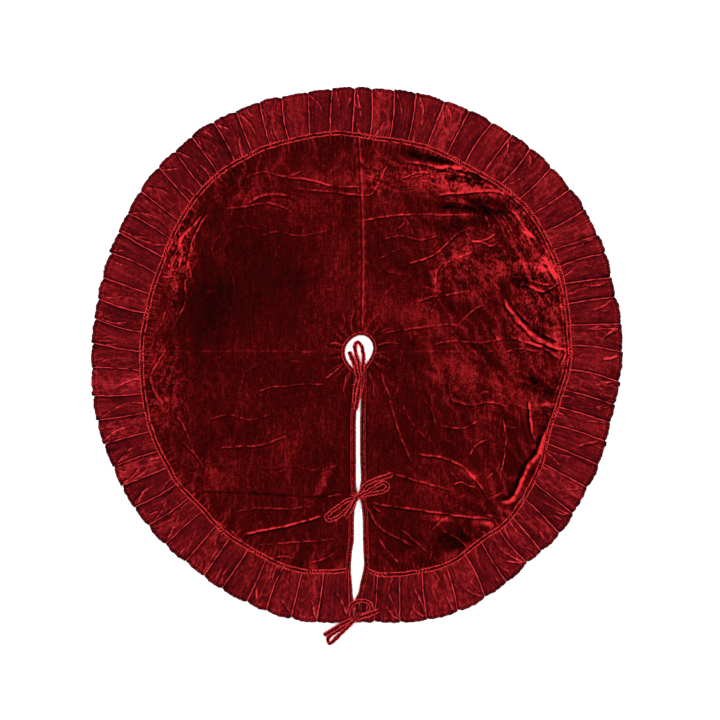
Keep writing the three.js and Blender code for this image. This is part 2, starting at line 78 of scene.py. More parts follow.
TIES = {
    "tie_neck_right": [(19.4, -69.8, 6.3), (14.6, -65.5, 7.2), (11.5, -54.3, 8), (12.5, -39.9, 8.2), (15.2, -24, 7.4), (16.2, -5.3, 5.4), (14.1, 13.3, 3.8), (8.8, 29.8, 3), (0.3, 37.3, 3), (-6.1, 30.4, 3.2), (-5.6, 13.3, 4.4), (-0.8, -5.3, 7.4), (3.5, -22.9, 10.6), (5.6, -39.9, 12.8), (6.1, -58.6, 13.2), (5.1, -79.9, 12.4), (2.9, -98.5, 10.6), (0.3, -117.2, 9.8), (-2.9, -133.1, 8), (-5.6, -142.7, 6.6)],
    "tie_neck_left": [(-13, -79.9, 6.3), (-4, -75.1, 8.4), (5.1, -68.2, 10.2), (11.5, -70.8, 9.6), (10.9, -82.6, 8), (7.2, -95.9, 7), (3.5, -109.2, 6.6), (-1.3, -122.5, 6.4), (-7.2, -121.4, 6.4), (-8.3, -106.5, 8), (-6.7, -90.5, 12), (-2.9, -74.6, 15.6), (1.3, -58.6, 16.2), (-1.9, -41.3, 13), (-7.2, -25.3, 8.6), (-13.6, -8, 5.2), (-21.6, 10.7, 3)],
    "tie_mid_right": [(23.7, -379.7, 6.3), (12, -376.5, 7.4), (0.3, -376.5, 8), (-13.6, -379.7, 7.4), (-33.3, -387.7, 6.4), (-53.8, -402.6, 5.4), (-72.2, -416.5, 5), (-83.4, -428.7, 4.9), (-75.9, -437.3, 4.9), (-54.6, -430.3, 5.4), (-31.7, -411.7, 6.4), (-14.6, -392.5, 9.8), (1.9, -373.9, 13.4), (10.4, -356.3, 12.8), (23.2, -340.9, 9.8), (49.3, -329.1, 6.2), (72.2, -321.7, 5), (91.9, -314.8, 4.8)],
    "tie_mid_left": [(-18.4, -367.5, 6.3), (-8.3, -369.1, 8.6), (2.9, -371.2, 10.6), (22.6, -369.1, 8.6), (45.5, -365.4, 6), (70.6, -359, 4.8), (81.2, -348.3, 4.8), (71.6, -337.1, 4.8), (46.6, -348.3, 6), (29, -358.4, 11.6), (13, -367, 15.6), (-1.9, -376.5, 16.2), (-8.8, -389.9, 14.2), (-16.8, -405.8, 11.6), (-25.3, -419.2, 8.4), (-33.3, -429.8, 6)],
    "tie_hem_left": [(-23.2, -682.8, 6.4), (-20.5, -667.9, 6.6), (-12, -657.8, 7.2), (2.4, -651.9, 7.8), (18.6, -651.1, 8.6), (33.8, -658.3, 8.8), (38.1, -672.7, 8.8), (26.9, -683.9, 9), (10.9, -690.2, 9.3), (-5.1, -696.6, 9.5), (-22.6, -703.6, 9.2), (-42.3, -714.2, 7.6), (-65.2, -728.6, 4.2), (-88.7, -742.4, 1.9)],
    "tie_hem_right": [(10.4, -680.7, 6.1), (7.7, -690.8, 6.3), (-2.4, -699.8, 6.4), (-17.3, -710, 6.4), (-32.2, -719, 5.2), (-48.2, -728.1, 4), (-66.3, -739.2, 2.6), (-78.6, -752.6, 1.9), (-74.3, -765.3, 1.9), (-59.9, -754.2, 2.2), (-41, -735.5, 4.2), (-22.6, -716.9, 8.6), (-5.1, -700.1, 12.4), (12, -693.4, 12.8), (26.9, -688.1, 12.2), (41.3, -682.3, 10.8), (57, -676.4, 8.9)],
}
# creases of the round top: (points, height, half width, lean, strength of the painted highlight on the crest and the
# painted shade beside it)
CREASES = [
    ([(-358, 391), (-292, 399), (-230, 407), (-169, 383)], 2.2, 3.2, 0.4, 0.8),
    ([(-169, 445), (-87, 439), (-7, 431)], 1.6, 3.2, 0.4, 0.7),
    ([(-382, 413), (-411, 362), (-435, 317), (-451, 258), (-459, 189), (-459, 141), (-478, 101), (-491, 69)], 3.0, 3.2, 0.5, 1.2),
    ([(-411, 378), (-441, 341), (-465, 320), (-481, 296)], 2.6, 4.5, 0.3, 1.3),
    ([(-467, 314), (-483, 277), (-499, 250), (-505, 224)], 2.0, 3.4, 0.2, 1.1),
    ([(-510, 250), (-494, 229), (-478, 234), (-470, 256)], 1.8, 3.0, 0.2, 1.1),
    ([(-521, 213), (-505, 210), (-483, 216)], 2.0, 3.2, 0, 1.1),
    ([(-534, 69), (-518, 91), (-510, 122)], 1.6, 3.2, 0.3, 0.9),
    ([(-446, 309), (-441, 282), (-449, 250), (-443, 216), (-451, 176)], 1.4, 3.0, 0, 0.8),
    ([(-377, 117), (-377, 40)], 1.2, 3.0, 0.2, 0.6),
    ([(-505, 27), (-531, -16), (-550, -59), (-539, -99), (-510, -136)], 1.8, 3.4, 0.4, 0.8),
    ([(-340, 242), (-329, 189), (-334, 149)], 1.0, 3.2, 0.2, 0.5),
    ([(-286, 309), (-220, 330), (-153, 320), (-73, 336)], 1.0, 3.6, 0.3, 0.45),
    ([(-353, 330), (-300, 346), (-254, 336)], 1.0, 3.2, 0.3, 0.4),
    ([(-313, 469), (-254, 490), (-193, 479), (-121, 501)], 1.1, 3.4, 0.3, 0.5),
    ([(-47, 434), (-7, 429), (31, 429), (44, 439), (65, 479), (87, 522)], 2.0, 3.0, 0.4, 0.9),
    ([(-17, 357), (39, 365), (92, 373), (156, 378), (246, 375), (332, 378)], 1.8, 3.4, 0.5, 0.8),
    ([(198, 501), (246, 503), (300, 495), (337, 482)], 2.8, 7.0, 0.6, 1.5),
    ([(220, 477), (278, 469), (342, 453), (393, 437)], -2.4, 5.0, 0, 1.0),
    ([(209, 429), (273, 434), (361, 439), (401, 429)], 3.0, 4.6, 0.6, 1.5),
    ([(105, 237), (150, 250), (198, 266), (238, 298), (270, 328), (310, 344)], 2.2, 3.6, 0.4, 1.0),
    ([(300, 306), (340, 309), (371, 328)], 2.0, 3.0, 0.3, 1.2),
    ([(300, 306), (337, 301), (353, 293), (371, 301), (374, 320)], 2.2, 3.0, 0.3, 1.3),
    ([(209, 176), (209, 208), (217, 237), (268, 261), (321, 282)], 1.6, 3.6, 0.3, 0.8),
    ([(270, 83), (284, 101), (300, 115), (321, 130), (340, 138)], 1.8, 3.4, 0.3, 0.9),
    ([(390, 138), (417, 112), (443, 77), (457, 59), (473, 43), (513, 27), (555, 11)], 3.2, 4.4, 0.6, 1.5),
    ([(55, 59), (113, 69), (177, 77), (230, 83), (278, 83)], 1.4, 3.4, 0.3, 0.6),
    ([(401, 397), (427, 367), (443, 344), (465, 320)], 2.4, 4.0, 0.4, 1.2),
    ([(374, 442), (401, 413), (417, 383)], 1.8, 3.2, 0.2, 0.9),
    ([(340, 375), (353, 341)], 1.6, 2.8, 0.2, 0.9),
    ([(361, 381), (379, 352), (390, 328)], 1.6, 2.8, 0.2, 0.9),
    ([(379, 383), (398, 357), (414, 325), (433, 293)], 1.7, 2.8, 0.2, 1.0),
    ([(430, 346), (449, 320), (462, 296)], 1.6, 3.0, 0.2, 1.0),
    ([(443, 333), (457, 322), (475, 314)], 2.8, 6.0, 0.3, 1.6),
    ([(478, 272), (502, 250), (515, 224), (531, 197)], 2.8, 5.5, 0.5, 1.6),
    ([(433, 194), (462, 184), (494, 173), (518, 184), (539, 194)], 2.4, 4.6, 0.4, 1.5),
    ([(441, 192), (473, 176), (507, 170)], 1.6, 3.0, 0.3, 1.2),
    ([(113, 469), (166, 490), (201, 485)], 1.6, 3.6, 0.4, 0.9),
    ([(60, 309), (113, 320), (166, 309), (220, 322)], 1.3, 3.4, 0.4, 0.7),
    ([(39, 250), (92, 277), (124, 293)], 1.2, 3.2, 0.3, 0.6),
    ([(153, 144), (198, 157), (252, 165), (310, 176)], 1.3, 3.4, 0.3, 0.7),
    ([(193, 29), (252, 40), (326, 35), (393, 48)], 1.3, 3.6, 0.3, 0.7),
    ([(393, 11), (433, 19), (478, 13)], 1.6, 3.6, 0.4, 1.0),
    ([(-281, -104), (-238, -85), (-198, -80), (-137, -75), (-76, -75)], 1.8, 3.4, 0.4, 0.7),
    ([(-87, -61), (-63, -45), (-41, -24)], 1.8, 2.8, 0.3, 1.0),
    ([(-387, -264), (-361, -245), (-308, -240), (-254, -237), (-180, -208)], 1.7, 3.4, 0.4, 0.7),
    ([(-438, -360), (-366, -362), (-292, -365), (-206, -370), (-121, -375), (-36, -381)], -1.5, 2.4, 0, 0.45),
    ([(-310, -477), (-246, -463), (-180, -450), (-132, -437), (-87, -423)], 3.2, 3.9, 0.5, 2.1),
    ([(-108, -381), (-87, -336), (-63, -282)], 1.6, 15.0, 0.0, 0.22),
    ([(-124, -549), (-92, -541), (-57, -522)], 1.8, 3.4, 0.3, 0.8),
    ([(-281, -503), (-206, -498), (-126, -493), (-52, -487)], 1.3, 3.4, 0.3, 0.6),
    ([(-406, -170), (-340, -157), (-286, -170), (-220, -149)], 1.1, 3.4, 0.3, 0.5),
    ([(-473, -224), (-430, -264), (-406, -304)], 1.6, 3.2, 0.4, 0.8),
    ([(-483, -157), (-457, -197), (-446, -240)], 1.5, 3.0, 0.4, 0.8),
    ([(-340, -415), (-265, -405), (-180, -407), (-105, -397)], 1.4, 3.6, 0.4, 0.6),
    ([(-382, -437), (-340, -463), (-297, -503)], 1.5, 3.2, 0.3, 0.8),
    ([(-254, -543), (-196, -533), (-153, -543)], 1.3, 3.2, 0.3, 0.7),
    ([(-318, -104), (-297, -43), (-254, -16)], 1.0, 3.4, 0.3, 0.4),
    ([(-254, -304), (-180, -293), (-105, -304), (-33, -282)], 0.7, 3.6, 0.3, 0.2),
    ([(76, -85), (89, -128), (100, -170), (113, -208), (126, -242), (156, -304)], 1.9, 3.2, 0.4, 0.8),
    ([(148, -258), (182, -264), (217, -269), (270, -288), (300, -314), (326, -344), (361, -399)], 2.4, 3.4, 0.5, 1.1),
    ([(15, -386), (73, -397), (140, -407), (198, -415), (273, -426), (332, -431), (382, -437)], 2.6, 3.6, 0.5, 1.1),
    ([(31, -415), (44, -437), (65, -461), (108, -485), (156, -511)], 1.9, 3.2, 0.4, 0.9),
    ([(105, -453), (150, -490), (198, -533)], 1.8, 3.2, 0.4, 0.9),
    ([(55, -487), (81, -519), (111, -554)], 1.8, 3.2, 0.3, 0.9),
    ([(521, -175), (501, -207), (482, -259), (456, -292), (430, -350), (410, -383), (371, -393)], 4.4, 9.0, 0.5, 1.9),
    ([(539, -224), (499, -317), (446, -383), (406, -410)], -2.2, 8.0, 0, 1.6),
    ([(456, -116), (462, -181), (472, -233)], 2.4, 4.4, 0.4, 1.9),
    ([(462, 32), (507, 24), (555, 13), (547, -11), (539, -35)], 2.6, 4.0, 0.4, 1.3),
    ([(449, -43), (462, -59), (481, -75)], -2.6, 5.0, 0, 1.0),
    ([(293, -279), (313, -240), (352, -220)], 1.5, 3.2, 0.3, 1.0),
    ([(386, -162), (400, -226)], 1.4, 3.0, 0, 1.1),
    ([(394, -253), (384, -305)], 1.4, 3.0, 0, 1.2),
    ([(361, -311), (345, -325)], 1.2, 3.4, 0, 1.2),
    ([(252, -345), (272, -335), (300, -346), (320, -352)], 1.2, 3.2, 0, 1.0),
    ([(379, -197), (395, -224), (390, -256)], 1.6, 3.2, 0.3, 0.9),
    ([(246, -117), (300, -130), (353, -122), (406, -138)], 1.5, 3.6, 0.4, 0.8),
    ([(220, -184), (278, -192), (326, -170)], 1.4, 3.4, 0.3, 0.8),
    ([(166, -104), (198, -144), (209, -184)], 1.3, 3.2, 0.3, 0.7),
    ([(60, -304), (119, -320), (180, -338), (246, -357)], 1.4, 3.6, 0.4, 0.7),
    ([(220, -463), (273, -490), (300, -522)], 1.6, 3.4, 0.3, 0.9),
    ([(326, -463), (358, -485), (379, -474)], 1.6, 3.4, 0.3, 1.0),
    ([(113, -117), (140, -170), (188, -224)], 1.2, 3.0, 0.3, 0.6),
    ([(-39, 29), (-60, 35), (-81, 27)], 1.0, 2.6, 0.2, 0.7),
    ([(47, 27), (81, 35), (119, 32)], 1.2, 2.6, 0.3, 0.7),
    ([(44, 11), (71, -3), (92, -16)], 1.2, 2.6, 0.3, 0.7),
    ([(39, -5), (60, -37), (73, -80), (92, -122)], 1.5, 2.8, 0.3, 0.8),
    ([(28, -32), (39, -69), (44, -112)], 1.3, 2.6, 0.2, 0.7),
    ([(-36, -21), (-57, -37), (-79, -53)], 1.6, 2.8, 0.3, 0.9),
    ([(-28, -43), (-36, -85), (-31, -122)], 1.3, 2.6, 0.2, 0.7),
    ([(-41, 69), (-33, 91), (-41, 117)], 1.2, 2.6, 0.2, 0.7),
    ([(-15, 64), (-15, 96), (-7, 133)], 1.2, 2.6, 0.2, 0.7),
    ([(23, 69), (39, 96), (60, 117)], 1.2, 2.6, 0.2, 0.7),
    ([(41, 53), (71, 69), (97, 75)], 1.2, 2.6, 0.2, 0.7),
    ([(25, -389), (49, -405), (68, -423)], 1.6, 2.8, 0.3, 1.0),
    ([(23, -399), (39, -426), (55, -463)], 1.5, 2.8, 0.3, 0.9),
    ([(-25, -352), (-52, -330), (-73, -304)], 0.7, 3.0, 0.3, 0.2),
    ([(-31, -367), (-63, -370), (-95, -383)], 1.3, 3.0, 0.3, 0.7),
    ([(384, 166), (406, 120), (444, 74), (498, 36), (544, 13)], 3.0, 6.0, 0.5, 1.25),
    ([(402, 166), (421, 128), (460, 84), (514, 50), (552, 36)], 2.4, 5.0, 0.5, 0.9),
    ([(398, 55), (444, 39), (498, 20), (544, -11)], 2.4, 5.0, 0.4, 1.0),
    ([(414, 150), (436, 100), (488, 60), (540, 30)], -2.0, 5.0, 0, 1.0),
    ([(113, 520), (190, 508), (250, 492), (330, 462), (400, 424)], 1.8, 4.0, 0.4, 1.0),
    ([(130, 536), (200, 524), (262, 506)], -1.6, 6.0, 0, 0.9),
    ([(212, 398), (300, 392), (384, 372)], -1.6, 8.0, 0, 0.8),
    ([(470, 262), (512, 236), (540, 200)], 1.8, 4.2, 0.4, 1.2),
    ([(452, 204), (500, 190), (536, 196)], 1.6, 3.6, 0.4, 1.1),
    ([(-222, 478), (-130, 470), (-60, 452), (20, 452)], 1.5, 3.6, 0.3, 0.9),
    ([(-300, 400), (-262, 424), (-214, 430), (-160, 420)], 1.3, 5.0, 0.3, 0.7)]

# ------------------------------------------------------------------ camera, floor and light
scene = bpy.context.scene
scene.view_settings.view_transform = "Standard"
scene.view_settings.look = "None"
link = scene.collection.objects.link


def metres(points):
    p = np.asarray(points, float).copy()
    p[..., 0] += OFFSET[0]
    p[..., 1] += OFFSET[1]
    return p * 1e-3


cam_data = bpy.data.cameras.new("camera")
cam_data.sensor_width = 36.0
HEIGHT = 6.0
cam_data.lens = 36.0 * HEIGHT / 1.917
cam_data.clip_end = 60.0
cam = bpy.data.objects.new("camera", cam_data)
cam.location = (0.0076, -0.0131, HEIGHT)
cam.rotation_euler = (0.0, 0.0, 0.0)
link(cam)
scene.camera = cam


def area_light(name, where, size, power, colour=(1, 1, 1)):
    data = bpy.data.lights.new(name, "AREA")
    data.shape = "DISK"
    data.size = size
    data.energy = power
    data.color = colour
    o = bpy.data.objects.new(name, data)
    o.location = where
    o.rotation_euler = (-Vector(where)).to_track_quat("-Z", "Y").to_euler()
    link(o)
    return o


area_light("key_light", (-2.6, 2.6, 3.0), 1.1, 125.0)
area_light("fill_light", (2.9, 0.6, 2.6), 1.6, 46.0)
area_light("top_light", (0.3, 0.2, 5.4), 3.0, 120.0)
area_light("front_light", (0.4, -3.2, 2.4), 1.6, 40.0)

world = bpy.data.worlds.new("studio")
scene.world = world
world.use_nodes = True
world.node_tree.nodes["Background"].inputs["Color"].default_value = (1.0, 1.0, 1.0, 1)
world.node_tree.nodes["Background"].inputs["Strength"].default_value = 0.42


# ------------------------------------------------------------------ noise and tables
def table_at(table, deg):
    s = (np.asarray(deg, float) % 360.0) / 5.0
    i = np.floor(s).astype(int)
    t = s - i
    n = len(table)
    a, b, c, d = (table[(i + k) % n] for k in (-1, 0, 1, 2))
    return b + 0.5 * t * (c - a + t * (2 * a - 5 * b + 4 * c - d + t * (3 * (b - c) + d - a)))


def seam_at(deg):
    """Radius of the seam of the top: it turns in where it meets the slit."""
    d = np.asarray(deg, float) % 360.0
    turn_in = np.where(d > 269.6, 20.0 * np.exp(-np.clip(d - 272.2, 0, None) / 1.9), 12.0 * np.exp(-np.clip(267.4 - d, 0, None) / 3.2))
    return table_at(SEAM, d) - turn_in


def slit_x(y, side):
    return np.interp(-np.asarray(y, float), -SLIT[:, 0], SLIT[:, 1 if side < 0 else 2])


def seam_x(y):
    return np.interp(np.asarray(y, float), CENTRE_SEAM[:, 1], CENTRE_SEAM[:, 0])


def placket_width(y, side):
    y = np.asarray(y, float)
    grow = np.clip((-560 - y) / 90, 0, 1)
    return 14.0 + (10.0 * grow if side < 0 else 0.0 * grow)


def noise2(x, y, seed):
    """Gradient noise, about -0.7 to 0.7, one cell to a unit."""
    rs = np.random.RandomState(seed)
    perm = np.tile(rs.permutation(256), 2)
    ang = rs.uniform(0, 2 * np.pi, 256)
    gx, gy = np.cos(ang), np.sin(ang)
    x, y = np.asarray(x, float), np.asarray(y, float)
    xi, yi = np.floor(x).astype(int), np.floor(y).astype(int)
    xf, yf = x - xi, y - yi
    u = xf * xf * xf * (xf * (xf * 6 - 15) + 10)
    v = yf * yf * yf * (yf * (yf * 6 - 15) + 10)

    def corner(i, j):
        h = perm[(perm[(xi + i) & 255] + yi + j) & 255]
        return gx[h] * (xf - i) + gy[h] * (yf - j)

    top = corner(0, 0) * (1 - u) + corner(1, 0) * u
    low = corner(0, 1) * (1 - u) + corner(1, 1) * u
    return top * (1 - v) + low * v


def fold_noise(x, y, seed, sharp=1.0):
    """Creased noise: 0 in the flats, up to 1 along thin winding ridges."""
    return np.clip(1 - np.abs(noise2(x, y, seed)) * 4.2 * sharp, 0, 1) ** 1.6


def smooth(a, b, x):
    t = np.clip((x - a) / (b - a), 0, 1)
    return t * t * (3 - 2 * t)


def inside_hole(x, y, grow):
    c = HOLE.mean(0)
    ang = np.degrees(np.arctan2(HOLE[:, 1] - c[1], HOLE[:, 0] - c[0])) % 360
    rad = np.hypot(HOLE[:, 0] - c[0], HOLE[:, 1] - c[1])
    o = np.argsort(ang)
    a, r = ang[o], rad[o]
    a = np.concatenate([a - 360, a, a + 360])
    r = np.tile(r, 3)
    t = np.degrees(np.arctan2(y - c[1], x - c[0])) % 360
    return np.interp(t, a, r) + grow - np.hypot(x - c[0], y - c[1])


# ------------------------------------------------------------------ velvet
def velvet(name, dark, mid, bright, crush=0.5, pile=(1.0, 1.0), lift=0.0, sheen=0.09, cloud=1.0):
    """Crushed velvet. The pile runs along the UV map's v, in metres. The point attribute tone lifts or lowers the
    colour: painted highlights on crests and painted shade in hollows, with some random tone."""
    m = bpy.data.materials.new(name)
    m.use_nodes = True
    nt = m.node_tree
    N, L = nt.nodes, nt.links
    N.clear()
    out = N.new("ShaderNodeOutputMaterial")
    b = N.new("ShaderNodeBsdfPrincipled")
    L.new(b.outputs[0], out.inputs["Surface"])
    b.inputs["Metallic"].default_value = 0.0
    b.inputs["IOR"].default_value = 1.45
    b.inputs["Specular IOR Level"].default_value = 0.02
    b.inputs["Specular Tint"].default_value = (1.0, 0.10, 0.10, 1)
    b.inputs["Sheen Weight"].default_value = sheen
    b.inputs["Sheen Roughness"].default_value = 0.34
    b.inputs["Sheen Tint"].default_value = (1.0, 0.035, 0.045, 1)
    uv = N.new("ShaderNodeUVMap")
    uv.uv_map = "cloth"
    tc = N.new("ShaderNodeTexCoord")

    def math(op, a, c=None, clamp=False):
        n = N.new("ShaderNodeMath")
        n.operation = op
        n.use_clamp = clamp
        for i, v in enumerate((a, c)):
            if v is None:
                continue
            if isinstance(v, (int, float)):
                n.inputs[i].default_value = v
            else:
                L.new(v, n.inputs[i])
        return n.outputs[0]

    def mapped(src, scale):
        n = N.new("ShaderNodeMapping")
        n.inputs["Scale"].default_value = scale
        L.new(src, n.inputs["Vector"])
        return n.outputs[0]

    def tex(src, scale, detail, rough=0.55, distort=0.0):
        n = N.new("ShaderNodeTexNoise")
        n.inputs["Scale"].default_value = scale
        n.inputs["Detail"].default_value = detail
        n.inputs["Roughness"].default_value = rough
        n.inputs["Distortion"].default_value = distort
        L.new(src, n.inputs["Vector"])
        return n.outputs["Fac"]

    def ramp(src, stops):
        n = N.new("ShaderNodeValToRGB")
        e = n.color_ramp.elements
        while len(e) > 2:
            e.remove(e[-1])
        for i, (p, c) in enumerate(stops):
            el = e[i] if i < 2 else e.new(p)
            el.position = p
            el.color = (*c, 1) if len(c) == 3 else c
        L.new(src, n.inputs["Fac"])
        return n.outputs["Color"]

    # the pile lies along v, in streaks a millimetre or two wide; a weaker set runs across it
    streak = tex(mapped(uv.outputs[0], (520 * pile[0], 52 * pile[1], 1)), 1.0, 2.0, 0.6, 0.2)
    streak2 = tex(mapped(uv.outputs[0], (190 * pile[0], 14 * pile[1], 1)), 1.0, 2.0, 0.5, 0.5)
    across = tex(mapped(uv.outputs[0], (60 * pile[0], 480 * pile[1], 1)), 1.0, 2.0, 0.6, 0.2)
    mottle = tex(uv.outputs[0], 210.0, 3.0, 0.62, 0.9)
    patch = tex(uv.outputs[0], 46.0, 4.0, 0.62, 1.4)
    broad = tex(uv.outputs[0], 7.0, 2.0, 0.5, 0.4)
    grain = tex(tc.outputs["Object"], 900.0, 1.0, 0.5, 0.0)

    att = N.new("ShaderNodeAttribute")
    att.attribute_name = "tone"
    cr = N.new("ShaderNodeAttribute")
    cr.attribute_name = "crush"

    def swing(src, amount):
        return math("MULTIPLY", math("SUBTRACT", src, 0.5), amount)

    # where the cloth was crushed the pile lies every way, so it glints in small patches
    wrinkle = tex(mapped(uv.outputs[0], (62, 34, 1)), 1.0, 2.0, 0.5, 1.3)
    wrinkle = math("SUBTRACT", 1.0, math("MULTIPLY", math("ABSOLUTE", math("SUBTRACT", wrinkle, 0.5)), 9.0), clamp=True)
    wrinkle2 = tex(mapped(uv.outputs[0], (118, 96, 1)), 1.0, 2.0, 0.5, 1.0)
    wrinkle2 = math("SUBTRACT", 1.0, math("MULTIPLY", math("ABSOLUTE", math("SUBTRACT", wrinkle2, 0.5)), 8.0), clamp=True)
    creased = math("MULTIPLY", cr.outputs["Fac"], 0.40 * crush)
    t = math("ADD", att.outputs["Fac"], 0.335 + lift)
    t = math("ADD", t, math("MULTIPLY", math("SUBTRACT", wrinkle, 0.25), math("ADD", creased, 0.035)))
    t = math("ADD", t, math("MULTIPLY", math("SUBTRACT", wrinkle2, 0.25), math("ADD", creased, 0.05)))
    t = math("ADD", t, swing(mottle, math("ADD", math("MULTIPLY", cr.outputs["Fac"], 0.46 * crush), 0.24)))
    t = math("ADD", t, swing(patch, math("ADD", math("MULTIPLY", cr.outputs["Fac"], 0.34 * crush), 0.10 * cloud)))
    t = math("ADD", t, swing(streak, 0.32))
    t = math("ADD", t, swing(streak2, 0.20))
    t = math("ADD", t, swing(across, 0.22))
    t = math("ADD", t, swing(broad, 0.16 * cloud))
    t = math("ADD", t, swing(grain, 0.26), clamp=True)
    col = ramp(t, [(0.0, [c * 0.35 for c in dark]), (1.0, bright), (0.22, dark), (0.40, mid), (0.58, [a * 0.70 + c * 0.30 for a, c in zip(mid, bright)]), (0.80, [a * 0.30 + c * 0.70 for a, c in zip(mid, bright)])])
    L.new(col, b.inputs["Base Color"])

    r = N.new("ShaderNodeMapRange")
    L.new(t, r.inputs["Value"])
    r.inputs["To Min"].default_value = 0.72
    r.inputs["To Max"].default_value = 0.42
    L.new(r.outputs[0], b.inputs["Roughness"])

    height = math("ADD", math("MULTIPLY", mottle, 0.55), math("ADD", math("MULTIPLY", streak, 0.25), math("MULTIPLY", grain, 0.2)))
    bump = N.new("ShaderNodeBump")
    bump.inputs["Strength"].default_value = 0.6
    bump.inputs["Distance"].default_value = 0.0012
    L.new(height, bump.inputs["Height"])
    L.new(bump.outputs[0], b.inputs["Normal"])
    return m


DARK, MID, BRIGHT = (0.0095, 0.0007, 0.0006), (0.044, 0.0009, 0.0010), (0.64, 0.023, 0.030)
VELVET_TOP = velvet("velvet_top_cloth", DARK, MID, BRIGHT, crush=0.75, sheen=0.075)
VELVET_RUFFLE = velvet("velvet_ruffle_cloth", (0.022, 0.0015, 0.0024), (0.094, 0.0026, 0.0038), (0.68, 0.034, 0.045), crush=0.3, cloud=0.35, lift=0.004)
VELVET_TRIM = velvet("velvet_trim_cloth", DARK, (0.06, 0.0018, 0.0022), (0.68, 0.030, 0.036), crush=0.3, pile=(0.6, 1.4), cloud=0.3)
VELVET_TIE = velvet("velvet_tie_cloth", DARK, (0.085, 0.0026, 0.0036), (0.68, 0.034, 0.042), crush=0.3, pile=(1.2, 1.6), cloud=0.3)


def lining_cloth():
    m = bpy.data.materials.new("lining_cloth")
    m.use_nodes = True
    nt = m.node_tree
    N, L = nt.nodes, nt.links
    b = N["Principled BSDF"]
    b.inputs["Roughness"].default_value = 0.7
    b.inputs["Specular IOR Level"].default_value = 0.3
    b.inputs["Sheen Weight"].default_value = 0.2
    b.inputs["Sheen Roughness"].default_value = 0.5
    uv = N.new("ShaderNodeUVMap")
    uv.uv_map = "cloth"
    heights = []
    for direction in ("X", "Y"):
        w = N.new("ShaderNodeTexWave")
        w.bands_direction = direction
        w.inputs["Scale"].default_value = 330.0
        w.inputs["Distortion"].default_value = 0.6
        w.inputs["Detail"].default_value = 1.0
        L.new(uv.outputs[0], w.inputs["Vector"])
        heights.append(w.outputs["Fac"])
    mx = N.new("ShaderNodeMath")
    mx.operation = "MAXIMUM"
    L.new(heights[0], mx.inputs[0])
    L.new(heights[1], mx.inputs[1])
    n = N.new("ShaderNodeTexNoise")
    n.inputs["Scale"].default_value = 14.0
    n.inputs["Detail"].default_value = 4.0
    L.new(uv.outputs[0], n.inputs["Vector"])
    add = N.new("ShaderNodeMath")
    add.operation = "ADD"
    L.new(mx.outputs[0], add.inputs[0])
    L.new(n.outputs["Fac"], add.inputs[1])
    ramp = N.new("ShaderNodeValToRGB")
    ramp.color_ramp.elements[0].position = 0.45
    ramp.color_ramp.elements[0].color = (0.055, 0.004, 0.006, 1)
    ramp.color_ramp.elements[1].position = 1.5
    ramp.color_ramp.elements[1].color = (0.17, 0.014, 0.02, 1)
    sc = N.new("ShaderNodeMath")
    sc.operation = "MULTIPLY"
    sc.inputs[1].default_value = 0.62
    L.new(add.outputs[0], sc.inputs[0])
    L.new(sc.outputs[0], ramp.inputs["Fac"])
    L.new(ramp.outputs["Color"], b.inputs["Base Color"])
    bump = N.new("ShaderNodeBump")
    bump.inputs["Strength"].default_value = 0.5
    bump.inputs["Distance"].default_value = 0.0004
    L.new(mx.outputs[0], bump.inputs["Height"])
    L.new(bump.outputs[0], b.inputs["Normal"])
    return m


LINING = lining_cloth()


# ------------------------------------------------------------------ meshes
def cloth_mesh(name, points_mm, faces, uv_m, tone, crush, material, node):
    """A smooth-shaded mesh piece with a UV map in metres and the tone and crush attributes."""
    me = bpy.data.meshes.new(name + "_cloth")
    co = metres(points_mm)
    faces = np.asarray(faces, np.int64)
    n = faces.shape[1]
    me.vertices.add(len(co))
    me.vertices.foreach_set("co", co.astype(np.float32).ravel())
    me.loops.add(faces.size)
    me.loops.foreach_set("vertex_index", faces.astype(np.int32).ravel())
    me.polygons.add(len(faces))
    me.polygons.foreach_set("loop_start", (np.arange(len(faces)) * n).astype(np.int32))
    me.polygons.foreach_set("use_smooth", np.ones(len(faces), bool))
    me.update(calc_edges=True)
    layer = me.uv_layers.new(name="cloth")
    layer.data.foreach_set("uv", np.asarray(uv_m, np.float32)[faces.ravel()].ravel())
    for key, val in (("tone", tone), ("crush", crush)):
        a = me.attributes.new(key, "FLOAT", "POINT")
        a.data.foreach_set("value", np.broadcast_to(np.asarray(val, np.float32), (len(co),)).copy())
    me.materials.append(material)
    me.validate()
    o = bpy.data.objects.new(name + "_cloth", me)
    link(o)
    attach(o, "root")
    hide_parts(node)
    return o


def grid_faces(rows, cols, close=False, base=0):
    i, j = np.meshgrid(np.arange(rows - 1), np.arange(cols if close else cols - 1), indexing="ij")
    k = (j + 1) % cols
    a, b, c, d = i * cols + j, i * cols + k, (i + 1) * cols + k, (i + 1) * cols + j
    return np.stack([a, b, c, d], -1).reshape(-1, 4) + base


